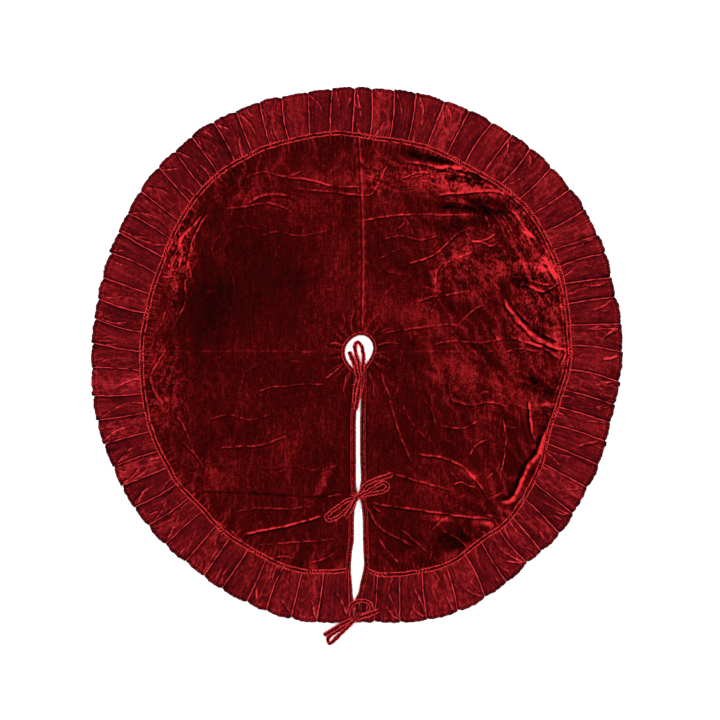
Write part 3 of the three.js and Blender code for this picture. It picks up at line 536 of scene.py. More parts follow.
# ------------------------------------------------------------------ ties: the cords come first
def spline(points, step=2.2):
    """Centripetal Catmull-Rom through the points, resampled to even steps (mm)."""
    p = np.array(points, float)
    p = np.vstack([2 * p[0] - p[1], p, 2 * p[-1] - p[-2]])
    out = []
    for i in range(1, len(p) - 2):
        a, b, c, d = p[i - 1:i + 3]
        t0 = 0.0
        t1 = t0 + max(np.linalg.norm(b - a), 1e-6) ** 0.5
        t2 = t1 + max(np.linalg.norm(c - b), 1e-6) ** 0.5
        t3 = t2 + max(np.linalg.norm(d - c), 1e-6) ** 0.5
        t = np.linspace(t1, t2, 24, endpoint=False)[:, None]
        A1 = (t1 - t) / (t1 - t0) * a + (t - t0) / (t1 - t0) * b
        A2 = (t2 - t) / (t2 - t1) * b + (t - t1) / (t2 - t1) * c
        A3 = (t3 - t) / (t3 - t2) * c + (t - t2) / (t3 - t2) * d
        B1 = (t2 - t) / (t2 - t0) * A1 + (t - t0) / (t2 - t0) * A2
        B2 = (t3 - t) / (t3 - t1) * A2 + (t - t1) / (t3 - t1) * A3
        out.append((t2 - t) / (t2 - t1) * B1 + (t - t1) / (t2 - t1) * B2)
    c = np.vstack(out + [p[-2][None]])
    s = np.concatenate([[0], np.cumsum(np.linalg.norm(np.diff(c, axis=0), axis=1))])
    n = max(8, int(round(s[-1] / step)))
    q = np.linspace(0, s[-1], n + 1)
    return np.stack([np.interp(q, s, c[:, k]) for k in range(3)], 1), s[-1]


# where each bow is knotted, and the turns of its knot: direction, shift in x and y, lift
KNOT_AT = {"neck": (9.5, -59.0), "mid": (-1.0, -375.0), "hem": (-6.0, -697.0)}
KNOT_TURNS = {"neck": [(24, 0, 4, 0.0), (-34, 1, -6, 1.2), (12, -1, -15, 0.2)], "mid": [(112, -3, 0, 0.0), (70, 3, 1, 1.2)], "hem": [(118, -3, -1, 0.0), (72, 4, 2, 1.2), (100, 10, 5, 0.2)]}
TIE_WIDE = 10.2


def tie(name, points, seed):
    """A narrow velvet tie: a tube sewn from a folded strip, so its two edges are rolled and its middle is
    a soft channel with the seam in it."""
    c, length = spline(points)
    n = len(c)
    run = np.linspace(0, length, n)
    loose = smooth(0, 14, run)
    c[:, 0] += 1.5 * loose * noise2(run / 10.0, run * 0 + 1, seed + 30)
    c[:, 1] += 1.5 * loose * noise2(run / 10.0, run * 0 + 5, seed + 31)
    c[:, 2] += 0.7 * loose * (0.3 + noise2(run / 12.0, run * 0 + 9, seed + 32))
    length = float(np.linalg.norm(np.diff(c, axis=0), axis=1).sum())
    t = np.gradient(c, axis=0)
    t /= np.linalg.norm(t, axis=1)[:, None]
    side = np.cross([0, 0, 1.0], t)
    side /= np.maximum(np.linalg.norm(side, axis=1), 1e-6)[:, None]
    up = np.cross(t, side)
    s = np.arange(n) * length / (n - 1)
    left = length - s
    w = TIE_WIDE / 2 * (1.04 + 0.26 * noise2(s / 24.0, s * 0 + seed, seed) + 0.34 * noise2(s / 8.0, s * 0 + 3.0, seed + 1))
    tail = smooth(95, 30, left)
    w = w * (1 + 0.22 * tail)
    w = np.where(left < 9, w * (0.80 + 0.20 * left / 9), w)
    w = w * (0.74 + 0.26 * smooth(0, 24, s))
    twist = np.radians(15) * noise2(s / 46.0, s * 0 + 7.0, seed + 2) + np.radians(6) * noise2(s / 13.0, s * 0 + 1, seed + 5)
    K = 20
    a = np.linspace(0, 2 * np.pi, K, endpoint=False)
    # a flat oval whose middle dips on top and whose edges are rolled
    x = np.cos(a)
    flat = np.sign(np.sin(a)) * np.abs(np.sin(a)) ** 0.62
    dip = 1 - 0.46 * np.exp(-(x / 0.34) ** 2) * (np.sin(a) > 0)
    h = 1.62 * flat * dip
    lump = 1 + 0.34 * noise2(s[:, None] / 6.0, x[None, :] * 1.6 + seed, seed + 3)
    off_side = w[:, None] * x[None, :] * np.cos(twist)[:, None] - h[None, :] * lump * np.sin(twist)[:, None]
    off_up = w[:, None] * x[None, :] * np.sin(twist)[:, None] * 0.55 + h[None, :] * lump * np.cos(twist)[:, None]
    pts = c[:, None, :] + side[:, None, :] * off_side[..., None] + up[:, None, :] * off_up[..., None]
    pts[..., 2] = np.maximum(pts[..., 2], c[:, None, 2] - 3.2)
    ends = []
    P = pts.reshape(-1, 3)
    F = grid_faces(n, K, close=True)
    tone = np.zeros((n, K))
    # tone: painted highlight along the rolled edges, painted shade in the middle channel and on the underside, with
    # random mottle
    edge = np.exp(-((np.abs(x) - 0.88) / 0.24) ** 2) * (np.sin(a) > -0.6)
    mid = np.exp(-(x / 0.30) ** 2) * (np.sin(a) > 0)
    pucker = 0.5 + 0.5 * np.sin(2 * np.pi * s / 5.6 + 4 * noise2(s / 20.0, s * 0, seed + 8))
    tone = (0.62 * edge[None, :] * (0.75 + 0.8 * noise2(s[:, None] / 11.0, x[None, :] * 0 + 2, seed + 4))
            - 0.26 * mid[None, :] - 0.20 * (np.sin(a) < -0.3)[None, :]
            + 0.10 * (pucker[:, None] - 0.5) * (np.abs(x) > 0.3)[None, :]
            + 0.12 * noise2(s[:, None] / 16.0, x[None, :] + 5, seed + 6)
            + 0.95 * np.clip(noise2(s[:, None] / 4.2, x[None, :] * 1.3 + 9, seed + 9), 0, 1) * (np.sin(a) > -0.2)[None, :] - 0.01)
    UV = np.stack(np.broadcast_arrays((a[None, :] / (2 * np.pi)) * 0.024, (s * 1e-3)[:, None]), -1).reshape(-1, 2)
    faces = [F]
    # rounded ends: two shrinking rings and a centre
    me_pts, me_uv, me_tone = [P], [UV], [tone.ravel()]
    base = len(P)
    tri = []
    for end, ring0, direction, nose in ((0, 0, -1, 0.9), (1, (n - 1) * K, 1, 2.2)):
        centre = pts[0 if end == 0 else -1].mean(0)
        axis = t[0 if end == 0 else -1] * direction
        prev = ring0
        for k, f in enumerate((0.80, 0.45)):
            ring = centre + (pts[0 if end == 0 else -1] - centre) * f + axis * nose * (1 - f) ** 0.6
            me_pts.append(ring)
            me_uv.append(UV[ring0:ring0 + K])
            me_tone.append(np.full(K, -0.05))
            j = np.arange(K)
            q = np.stack([prev + j, prev + (j + 1) % K, base + (j + 1) % K, base + j], 1)
            faces.append(q if end == 1 else q[:, ::-1])
            prev = base
            base += K
        me_pts.append((centre + axis * nose)[None])
        me_uv.append(UV[ring0:ring0 + 1])
        me_tone.append(np.array([-0.05]))
        j = np.arange(K)
        q = np.stack([prev + j, prev + (j + 1) % K, np.full(K, base), np.full(K, base)], 1)
        tri.append(q if end == 1 else q[:, ::-1])
        base += 1
    P = np.vstack(me_pts)
    U = np.vstack(me_uv)
    T = np.concatenate(me_tone)
    quads = np.vstack(faces)
    o = mixed_mesh(name + "_cloth", P, quads, [q[:, [0, 1, 2]] if q[0, 2] == q[0, 3] else q[:, [1, 2, 3]] for q in tri], U, T, 0.3, VELVET_TIE)
    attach(o, "root")
    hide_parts(name)
    ctr = metres(c)
    return o


def mixed_mesh(name, points_mm, quads, tris, uv_m, tone, crush, material):
    """As cloth_mesh, for quads with some triangles."""
    me = bpy.data.meshes.new(name)
    polys = [tuple(int(v) for v in q) for q in quads] + [tuple(int(v) for v in q) for t in tris for q in t]
    me.from_pydata([tuple(float(c) for c in p) for p in metres(points_mm)], [], polys)
    me.polygons.foreach_set("use_smooth", np.ones(len(me.polygons), bool))
    me.update()
    layer = me.uv_layers.new(name="cloth")
    idx = np.empty(len(me.loops), np.int32)
    me.loops.foreach_get("vertex_index", idx)
    layer.data.foreach_set("uv", np.asarray(uv_m, np.float32)[idx].ravel())
    for key, val in (("tone", tone), ("crush", crush)):
        a = me.attributes.new(key, "FLOAT", "POINT")
        a.data.foreach_set("value", np.broadcast_to(np.asarray(val, np.float32), (len(points_mm),)).copy())
    me.materials.append(material)
    me.validate()
    o = bpy.data.objects.new(name, me)
    link(o)
    return o


def strap(centre, direction, half, rise, wide, seed, name):
    """A turn of a knot: one strand arching over the others, its ends tucked under."""
    k = np.linspace(0, 1, 26)
    ang = np.pi * (k * 1.24 - 0.12)
    c = np.array(centre, float)
    d = np.array([direction[0], direction[1], 0.0])
    d /= np.linalg.norm(d)
    route = c + d * (-np.cos(ang) * half)[:, None] + np.array([0, 0, 1.0]) * (np.sin(ang) * rise)[:, None]
    t = np.gradient(route, axis=0)
    t /= np.linalg.norm(t, axis=1)[:, None]
    side = np.cross([0, 0, 1.0], d)
    up = np.cross(t, side)
    K = 18
    a = np.linspace(0, 2 * np.pi, K, endpoint=False)
    x = np.cos(a)
    w = wide / 2 * (1 - 0.22 * np.sin(np.pi * k) + 0.12 * noise2(k * 5.0, k * 0, seed))
    h = 1.7 * np.sign(np.sin(a)) * np.abs(np.sin(a)) ** 0.7 * (1 - 0.30 * np.exp(-(x / 0.35) ** 2) * (np.sin(a) > 0))
    lump = 1 + 0.25 * noise2(k[:, None] * 7, x[None, :] * 2, seed + 1)
    P = route[:, None, :] + side[None, None, :] * (w[:, None] * x[None, :])[..., None] + up[:, None, :] * (h[None, :] * lump)[..., None]
    P[..., 2] = np.maximum(P[..., 2], 3.4)
    n = len(k)
    # tone: painted highlight along the strand's rolled edges, with random mottle
    tone = (0.50 * np.exp(-((np.abs(x) - 0.72) / 0.24) ** 2) * (np.sin(a) > -0.2))[None, :] * (0.6 + 0.9 * noise2(k[:, None] * 8, x[None, :] * 2 + 3, seed + 2)) \
        + 0.30 * np.clip(noise2(k[:, None] * 9, x[None, :] * 2, seed + 3), 0, 1) - 0.06
    V = [P.reshape(-1, 3), P[0].mean(0)[None], P[-1].mean(0)[None]]
    F = grid_faces(n, K, close=True)
    jj = np.arange(K)
    m = n * K
    caps = [np.stack([(jj + 1) % K, jj, np.full(K, m)], 1), np.stack([(n - 1) * K + jj, (n - 1) * K + (jj + 1) % K, np.full(K, m + 1)], 1)]
    UV = np.stack(np.broadcast_arrays((a / (2 * np.pi) * 0.024)[None, :], (k * 0.03)[:, None]), -1).reshape(-1, 2)
    UV = np.vstack([UV, UV[:1], UV[-1:]])
    T = np.concatenate([tone.ravel(), [0.0, 0.0]])
    o = mixed_mesh(name, np.vstack(V), F, caps, UV, T, 0.4, VELVET_TIE)
    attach(o, "root")
    return o


for where, key in enumerate(("neck", "mid", "hem")):
    ca, _ = spline(TIES["tie_%s_left" % key])
    cb, _ = spline(TIES["tie_%s_right" % key])
    gap = np.linalg.norm(ca[:, None, :2] - cb[None, :, :2], axis=2)
    near_a, near_b = ca[(gap.min(1) < 9)], cb[(gap.min(0) < 9)]
    both = np.vstack([near_a, near_b])
    centre = KNOT_AT[key]
    d = np.hypot(both[:, 0] - centre[0], both[:, 1] - centre[1])
    high = both[d < 12, 2].max() if (d < 12).any() else 7.5
    for n_turn, (deg, dx, dy, lift) in enumerate(KNOT_TURNS[key]):
        strap((centre[0] + dx, centre[1] + dy, min(high, 12.5) - 2.6), (math.cos(math.radians(deg)), math.sin(math.radians(deg))),
                           8.0 + 0.6 * n_turn, 5.2 + lift, 8.6, 900 + 10 * where + n_turn, "knot_%s_%d" % (key, n_turn + 1))
    print("knot", key, centre, round(float(high), 2))

for i, (key, route) in enumerate(TIES.items()):
    tie(key, route, 40 + i * 11)


# ------------------------------------------------------------------ the round top
NX, NY = 2.6, 2.6


def crease_field(xs, ys):
    """Listed and scattered creases, on a raster of 1.5 mm: height, and tone with a painted highlight along each crest
    and painted shade in the hollow beside it.
    """
    H = np.zeros((len(ys), len(xs)))
    T = np.zeros_like(H)
    step = xs[1] - xs[0]
    X, Y = np.meshgrid(xs, ys)

    def stamp(points, height, half, lean, bright, taper=True):
        p = np.array(points, float)
        if len(p) > 2:
            q, _ = spline(np.c_[p, np.zeros(len(p))], step=6.0)
            p = q[:, :2]
        else:
            n = max(2, int(np.linalg.norm(p[1] - p[0]) / 6))
            f = np.linspace(0, 1, n)[:, None]
            p = p[0] * (1 - f) + p[1] * f
        # a cloth crease isn't a ruled line
        wob = noise2(p[:, 0] / 23.0, p[:, 1] / 23.0, 77) * 2.6
        tan = np.gradient(p, axis=0)
        tan /= np.maximum(np.linalg.norm(tan, axis=1), 1e-6)[:, None]
        nor = np.c_[-tan[:, 1], tan[:, 0]]
        p = p + nor * wob[:, None]
        reach = half * 5.0
        x0, x1 = p[:, 0].min() - reach, p[:, 0].max() + reach
        y0, y1 = p[:, 1].min() - reach, p[:, 1].max() + reach
        i0, i1 = np.searchsorted(xs, [x0, x1])
        j0, j1 = np.searchsorted(ys, [y0, y1])
        if i1 - i0 < 2 or j1 - j0 < 2:
            return
        gx, gy = X[j0:j1, i0:i1], Y[j0:j1, i0:i1]
        best = np.full(gx.shape, 1e9)
        sd = np.zeros(gx.shape)
        along = np.zeros(gx.shape)
        for k in range(len(p) - 1):
            ax, ay = p[k]
            dx, dy = p[k + 1] - p[k]
            L2 = dx * dx + dy * dy + 1e-9
            u = np.clip(((gx - ax) * dx + (gy - ay) * dy) / L2, 0, 1)
            qx, qy = gx - (ax + u * dx), gy - (ay + u * dy)
            d = np.hypot(qx, qy)
            near = d < best
            best = np.where(near, d, best)
            sd = np.where(near, (dx * (gy - ay) - dy * (gx - ax)) / math.sqrt(L2), sd)
            along = np.where(near, (k + u) / (len(p) - 1), along)
        end = np.minimum(smooth(0, 0.16, along), smooth(1.0, 0.84, along)) if taper else 1.0
        half = half * 0.62
        broken = np.clip(0.72 + 1.5 * noise2(gx / 14.0, gy / 14.0, 78) + 0.8 * noise2(gx / 40.0, gy / 40.0, 79), 0.10, 1.35)
        height, bright = height * 0.62, bright * 1.05
        # a sharp crest, with a longer slope on the side it leans away from
        side = np.sign(sd) * lean
        w = half * (1 + 0.9 * np.clip(side, -0.8, 1.0))
        prof = np.exp(-(best / w) ** 1.25)
        hollow = np.exp(-((best - 1.75 * half) / (0.85 * half)) ** 2) * (0.5 - 0.5 * np.sign(height) * np.clip(side * 2, -1, 1))
        H[j0:j1, i0:i1] += height * end * (prof - 0.22 * hollow)
        # tone: a painted highlight along the crest, painted shade in the hollow beside it
        T[j0:j1, i0:i1] += bright * end * (np.sign(height) * np.exp(-(best / (0.72 * half)) ** 1.5) * 0.34 * broken
                                            - 0.19 * np.minimum(broken + 0.2, 1.1) * hollow)

    for pts, height, half, lean, bright in CREASES:
        stamp(pts, height, half, lean, bright * 1.75)
    rs = np.random.RandomState(20)
    n_made = 0
    for _ in range(2200):
        if n_made >= 230:
            break
        ang = rs.uniform(0, 2 * np.pi)
        rad = 575 * math.sqrt(rs.uniform(0.02, 1))
        x, y = rad * math.cos(ang), rad * math.sin(ang)
        # fewer in the calm upper left and the middle, more in the right and along the band
        want = 0.34 + 0.40 * smooth(430, 560, rad) + 0.42 * smooth(120, 420, x) * smooth(-300, 0, y)
        want += 0.35 * smooth(-380, -500, x) * smooth(-150, 100, y) * smooth(460, 300, y)
        if rs.uniform() > want or inside_hole(x, y, 25) > 0:
            continue
        n_made += 1
        right = x > 120
        base = math.radians(rs.normal(128 if right else 95, 42))
        if rad > 520:
            base = ang + math.radians(rs.normal(0, 32))
        L = rs.uniform(18, 80)
        bend = rs.uniform(-0.55, 0.55)
        pts = []
        a = base
        px, py = x, y
        for k in range(4):
            pts.append((px, py))
            px += L / 3 * math.cos(a)
            py += L / 3 * math.sin(a)
            a += bend / 2
        h = rs.uniform(0.30, 1.2) * (1.3 if right else 0.6)
        if rs.uniform() < 0.25:
            h = -0.6 * h
        stamp(pts, h, rs.uniform(2.0, 5.2), rs.uniform(-0.6, 0.6), abs(h) * 0.60)
    return H, T


RX = np.arange(-640.0, 641.0, 1.6)
RY = np.arange(-720.0, 641.0, 1.6)
CH, CT = crease_field(RX, RY)


def sample(field, x, y):
    i = np.clip((x - RX[0]) / 1.6, 0, len(RX) - 1.001)
    j = np.clip((y - RY[0]) / 1.6, 0, len(RY) - 1.001)
    i0, j0 = i.astype(int), j.astype(int)
    fi, fj = i - i0, j - j0
    return ((field[j0, i0] * (1 - fi) + field[j0, i0 + 1] * fi) * (1 - fj)
            + (field[j0 + 1, i0] * (1 - fi) + field[j0 + 1, i0 + 1] * fi) * fj)


# places where the pile is crushed, shown as painted glints in bright mottled patches and finer wrinkles: (x, y, radius
# x, radius y, amount)
CRUSHED = [(-462, 290, 26, 90, 0.9), (-486, 225, 18, 80, 0.8), (330, 430, 90, 60, 0.45), (440, 355, 70, 62, 0.6), (470, 320, 60, 60, 0.6),
           (420, 255, 120, 60, 0.55), (500, 200, 80, 110, 0.75), (560, 180, 40, 130, 0.6), (470, 60, 100, 110, 0.35),
           (300, 250, 130, 90, 0.35), (220, 480, 110, 40, 0.7), (350, -80, 170, 70, 0.15), (510, -120, 60, 110, 0.25), (-510, -60, 50, 120, 0.45),
           (-330, 440, 100, 40, 0.2), (-430, -330, 110, 70, 0.1), (330, -400, 140, 80, 0.08), (60, 480, 60, 60, 0.4)]


# painted soft sheens, and painted shade in the hollows of the broad folds: (x, y, half length, half width, direction in
# degrees, tone)
SHEENS = [(262, 497, 70, 9, -10, 0.30), (330, 470, 62, 9, -12, -0.24), (300, 446, 110, 16, -11, 0.32), (190, 528, 80, 8, -11, -0.16), (300, 394, 90, 10, -8, -0.12), (-96, -335, 62, 10, 66, 0.14), (385, 442, 34, 9, -18, 0.34),
          (330, 412, 50, 9, -8, -0.20), (258, 350, 66, 18, 0, -0.16), (230, 372, 90, 5, 2, 0.16), (455, 322, 18, 8, -20, 0.50),
          (212, 200, 12, 34, 0, 0.22), (262, 262, 44, 10, 28, 0.24), (376, 218, 26, 20, 40, 0.26), (505, 238, 30, 18, -35, 0.42),
          (455, 240, 44, 12, -10, 0.26), (430, 205, 60, 16, 0, -0.18), (430, 88, 50, 12, -48, 0.14), (455, 60, 60, 16, -45, 0.12),
          (530, 60, 60, 14, -80, 0.20), (-472, 250, 5, 50, -6, 0.22), (-462, 322, 40, 5, 48, 0.34), (-500, 235, 5, 40, -10, 0.2), (-400, 100, 60, 110, 0, -0.08),
          (-300, 190, 170, 130, 0, -0.07), (-70, 210, 60, 150, 0, 0.06), (-160, 400, 120, 20, -6, 0.05), (-60, 470, 90, 22, 0, 0.10),
          (90, 420, 70, 60, 0, 0.05), (120, 120, 150, 60, -15, 0.07), (330, -60, 140, 20, -22, 0.07), (-120, -220, 160, 60, 20, 0.02),
          (-300, -300, 120, 60, 20, 0.02), (250, -300, 120, 60, 30, 0.05), (350, -447, 28, 8, -12, 0.40), (263, -522, 26, 9, 20, 0.30),
          (262, -486, 70, 24, 12, -0.18), (225, -432, 42, 8, -8, 0.28), (302, -316, 20, 8, -35, 0.40), (498, -130, 22, 5, 0, 0.42), (490, -88, 56, 16, -8, -0.22),
          (452, -385, 50, 8, 42, -0.14)]


def top_height(x, y):
    """Height of the velvet over the floor, its tone (painted highlights, sheens and shade, with random tone) and how
    crushed it is (mm, table frame).
    """
    r = np.hypot(x, y)
    ang = np.arctan2(y, x)
    deg = np.degrees(ang) % 360
    sr = seam_at(deg)
    crush = np.zeros_like(x)
    for cx, cy, ax, ay, amt in CRUSHED:
        crush = np.maximum(crush, amt * np.exp(-(((x - cx) / ax) ** 2 + ((y - cy) / ay) ** 2) ** 1.3))
    right = smooth(60, 300, x)
    # broad sag of cloth on the floor
    h = 1.05 * noise2(x / 190 + 3, y / 170, 5) + 0.55 * noise2(x / 82, y / 96 + 9, 6)
    # soft, winding wrinkles; on the right they run down to the right, on the left nearer upright
    u = np.where(x > 60, (x + y * 0.72) / 46.0, x / 44.0)
    v = np.where(x > 60, (y - x * 0.5) / 150.0, y / 170.0)
    wob = 0.8 * noise2(x / 60.0, y / 60.0, 31)
    ridge = fold_noise(u + wob, v + wob * 0.4, 8, 0.8)
    amount = 0.55 + 0.75 * right + 0.6 * smooth(470, 560, r)
    calm = 1 - 0.65 * smooth(330, 150, np.hypot(x + 150, y - 120)) - 0.45 * smooth(260, 100, np.hypot(x - 190, y + 290))
    amount = amount * np.clip(calm, 0.15, 1)
    h = h + 1.15 * ridge * amount
    fine = fold_noise(x / 21 + 0.7 * noise2(x / 40, y / 40, 12), y / 25, 9, 0.9)
    h = h + 0.55 * fine * (0.25 + crush)
    micro = noise2(x / 9.5, y / 10.5, 14) + 0.6 * noise2(x / 5.2, y / 5.6, 15)
    h = h + 0.30 * micro * (0.25 + 1.3 * crush)
    h = h + sample(CH, x, y)
    wx, wy = x + 20 * noise2(x / 78, y / 78, 41), y + 20 * noise2(x / 78, y / 78 + 7, 42)
    lie = np.radians(-14 - 30 * smooth(350, 500, x) - 16 * smooth(200, -80, y))
    lie = np.where(x < 0, np.radians(78.0), lie)
    fu, fv = wx * np.cos(lie) + wy * np.sin(lie), -wx * np.sin(lie) + wy * np.cos(lie)
    flow = fold_noise(fv / 17.0, fu / 74.0, 43, 0.9)
    flow2 = fold_noise(fv / 8.5, fu / 34.0, 44, 0.9)
    glint = np.clip(noise2(fv / 30.0, fu / 90.0, 45) * 2.2 + 0.25, 0, 1)
    h = h + (0.75 * flow + 0.35 * flow2) * (0.06 + crush)
    # painted sheen along the streaks of crushed pile, and painted highlights on the crests of the wrinkles
    tone = 0.30 * crush * (flow - 0.32) + 0.24 * crush * (flow2 - 0.30) + 0.30 * crush * glint * flow * flow2 + 0.10 * right * noise2(fv / 34.0, fu / 150.0, 46)
    tone = tone + sample(CT, x, y) + 0.10 * (ridge - 0.25) * amount + 0.10 * (fine - 0.3) * (0.25 + crush) - 0.035 * crush
    fray = 0.75 + 1.3 * noise2(x / 15.0, y / 9.0, 17) + 0.9 * noise2(x / 5.5, y / 7.5, 18)
    for cx, cy, al, aw, turn, amt in SHEENS:
        ct, st = math.cos(math.radians(turn)), math.sin(math.radians(turn))
        du, dv = (x - cx) * ct + (y - cy) * st, -(x - cx) * st + (y - cy) * ct
        g = np.exp(-((du / al) ** 2 + (dv / aw) ** 2) ** 1.1)
        tone = tone + amt * g * (np.clip(fray, 0.1, 1.7) if abs(amt) > 0.12 else 1.0)
        if aw < 22 and amt > 0.12:
            h = h + 2.4 * amt * g
    # puckers at the seam band
    to_band = sr - 7.0 - r
    s = deg * sr * math.pi / 180
    edge = smooth(34, 0, to_band)
    pk = np.sin(s * 2 * math.pi / 15.5 + 3.0 * noise2(s / 60, s * 0, 21)) * (0.55 + 0.8 * np.abs(noise2(s / 45, s * 0 + 4, 22)) * 2)
    pk2 = np.sin(s * 2 * math.pi / 8.3 + 4 * noise2(s / 33, s * 0 + 2, 23))
    h = h + edge * (0.55 * pk + 0.25 * pk2 * smooth(14, 0, to_band))
    # painted highlight on the tops of the puckers, painted shade between them
    tone = tone + edge * (0.10 * pk + 0.07 * pk2)
    # in places a raised line beside the band, with a painted highlight on it and painted shade either side
    beside = np.maximum(smooth(338, 352, deg) * (deg > 180), smooth(72, 52, deg) * (deg < 180))
    line = np.clip(0.62 + 1.5 * noise2(s / 24.0, s * 0 + 8, 27), 0.08, 1.2) * beside
    place = 7.0 + 1.8 * noise2(s / 30.0, s * 0 + 3, 28)
    h = h + 1.1 * line * np.exp(-((to_band - place) / 2.4) ** 2)
    tone = tone + line * (0.44 * np.exp(-((to_band - place) / 1.5) ** 2) - 0.24 * np.exp(-((to_band - place + 3.6) / 1.7) ** 2) - 0.12 * np.exp(-((to_band - place - 5.0) / 2.6) ** 2))
    # radial puckers round the hole
    to_hole = -inside_hole(x, y, 9.0)
    ah = np.arctan2(y - 8, x - 5)
    near = smooth(58, 4, to_hole) * smooth(-2, 5, to_hole)
    pr = np.sin(ah * 21 + 2.6 * noise2(np.cos(ah) * 3, np.sin(ah) * 3, 24)) + 0.6 * np.sin(ah * 34 + 1.3)
    h = h + near * 0.75 * pr
    # painted highlight on the tops of the puckers, painted shade between them
    tone = tone + near * 0.09 * pr
    # the middle seam: the two halves dip into it, with small tucks along it
    ds = np.where(y > 45, np.abs(x - seam_x(y)), 99.0)
    tuck = np.sin(y * 2 * math.pi / 27 + 3 * noise2(y / 70, y * 0, 25))
    h = h + (-1.5 * np.exp(-(ds / 2.6) ** 2) + 0.45 * np.exp(-((ds - 7.5) / 4.0) ** 2) * (1 + 0.6 * tuck)) * smooth(45, 70, y)
    # painted shade in the seam, a painted highlight along the ridge beside it and on the tucks
    dr = np.where(y > 45, x - seam_x(y), 99.0)
    glow = np.clip(0.85 + 1.2 * noise2(y / 26.0, y * 0 + 3, 29), 0.25, 1.3)
    tone = tone + (-0.15 * np.exp(-((dr + 1.4) / 1.7) ** 2) + 0.34 * glow * np.exp(-((dr - 2.6) / 1.9) ** 2) + 0.06 * np.exp(-((ds - 7.0) / 3.5) ** 2) * (1 + tuck)) * smooth(45, 70, y)
    # the fold the skirt was packed on
    fy = y - 13 - 5 * noise2(x / 90, x * 0, 26)
    h = h + 0.55 * np.exp(-(fy / 3.4) ** 2) * smooth(70, 130, np.abs(x))
    # painted highlight along the fold
    tone = tone + 0.17 * np.clip(0.5 + 1.6 * noise2(x / 30.0, x * 0 + 6, 30), 0, 1.2) * np.exp(-(fy / 2.4) ** 2) * smooth(70, 130, np.abs(x))
    # pulled down where it is sewn
    hold = smooth(0, 16, to_band) * smooth(0, 14, to_hole)
    for side in (-1, 1):
        gap = side * (x - slit_x(y, side)) - placket_width(y, side)
        hold = hold * np.where(y < -30, smooth(-6, 16, np.where(side * (x - 1) > 0, gap, 99.0)), 1.0)
        # painted shade beside the placket edges
        tone = tone - 0.13 * np.where((y < -30) & (side * (x - 1) > 0), np.exp(-((gap - 1.0) / 3.2) ** 2), 0)
    z = 3.15 + h * hold * 0.92
    return np.clip(z, 1.75, 9.5), tone, crush


def top_piece(name, side, node):
    """Half of the round top: a grid warped so its columns follow the middle seam and the slit, cut at the
    outline, with its edges laid exactly on the outline under the trims."""
    ys = np.arange(-612, 612 + NY, NY)
    us = np.arange(0, 612 + NX, NX)
    Y, U = np.meshgrid(ys, us, indexing="ij")

    def start(y):
        # where the half begins at this height: the seam above the hole, else the slit's edge
        return np.where(y > 52, seam_x(y), slit_x(np.minimum(y, -39.9), side))

    X = start(Y) + side * U
    if side < 0:
        X = start(Y) - U
    R = np.hypot(X, Y)
    D = np.degrees(np.arctan2(Y, X)) % 360
    limit = seam_at(D) - 1.0
    hole = inside_hole(X, Y, 1.5)
    keep = (R < limit) & (hole < 0)
    # move vertices just outside the edge onto it
    edge = (~keep) & (R < limit + 5.0) & (hole < 0)
    nb = np.zeros_like(keep)
    for dy, dx in ((1, 0), (-1, 0), (0, 1), (0, -1), (1, 1), (-1, -1), (1, -1), (-1, 1)):
        nb |= np.roll(np.roll(keep, dy, 0), dx, 1)
    nb[0, :] &= keep[0, :]
    snap = (~keep) & nb
    rim = snap & (R >= limit)
    X = np.where(rim, limit * np.cos(np.radians(D)), X)
    Y = np.where(rim, limit * np.sin(np.radians(D)), Y)
    inner = snap & (hole >= 0) & (R < limit)
    c = HOLE.mean(0)
    for _ in range(6):
        g = inside_hole(X, Y, 1.5)
        dd = np.hypot(X - c[0], Y - c[1])
        push = np.where(inner, g + 0.05, 0)
        X = X + (X - c[0]) / dd * push
        Y = Y + (Y - c[1]) / dd * push
    ok = keep | rim | inner
    rows, cols = ok.shape
    f = grid_faces(rows, cols)
    flat_ok = ok.ravel()
    f = f[flat_ok[f].all(1)]
    # no face made only of moved corners
    moved = (rim | inner).ravel()
    f = f[moved[f].sum(1) < 4]
    used, inv = np.unique(f.ravel(), return_inverse=True)
    f = inv.reshape(-1, 4)
    px, py = X.ravel()[used], Y.ravel()[used]
    z, tone, crush = top_height(px, py)
    if side > 0:
        pass
    else:
        f = f[:, ::-1]
    f = f[:, ::-1]
    # drop faces folded over by the moved corners
    ax, ay = px[f], py[f]
    area = 0.5 * (ax * (np.roll(ay, -1, 1) - np.roll(ay, 1, 1))).sum(1)
    sign = np.sign(np.median(area))
    f = f[area * sign > 0.15]
    if sign < 0:
        f = f[:, ::-1]
    uv = np.stack([px, py], 1) * 1e-3
    # the tone from top_height: painted highlights on ridges and creases, painted shade in hollows
    o = cloth_mesh(name, np.stack([px, py, z], 1), f, uv, tone, crush, VELVET_TOP, node)
    return o, float((np.abs(area) * 1e-6).sum())


for name, side in (("velvet_panel_left", -1), ("velvet_panel_right", 1)):
    piece, area = top_piece(name, side, name)
    print(name, len(piece.data.vertices), "area", area)


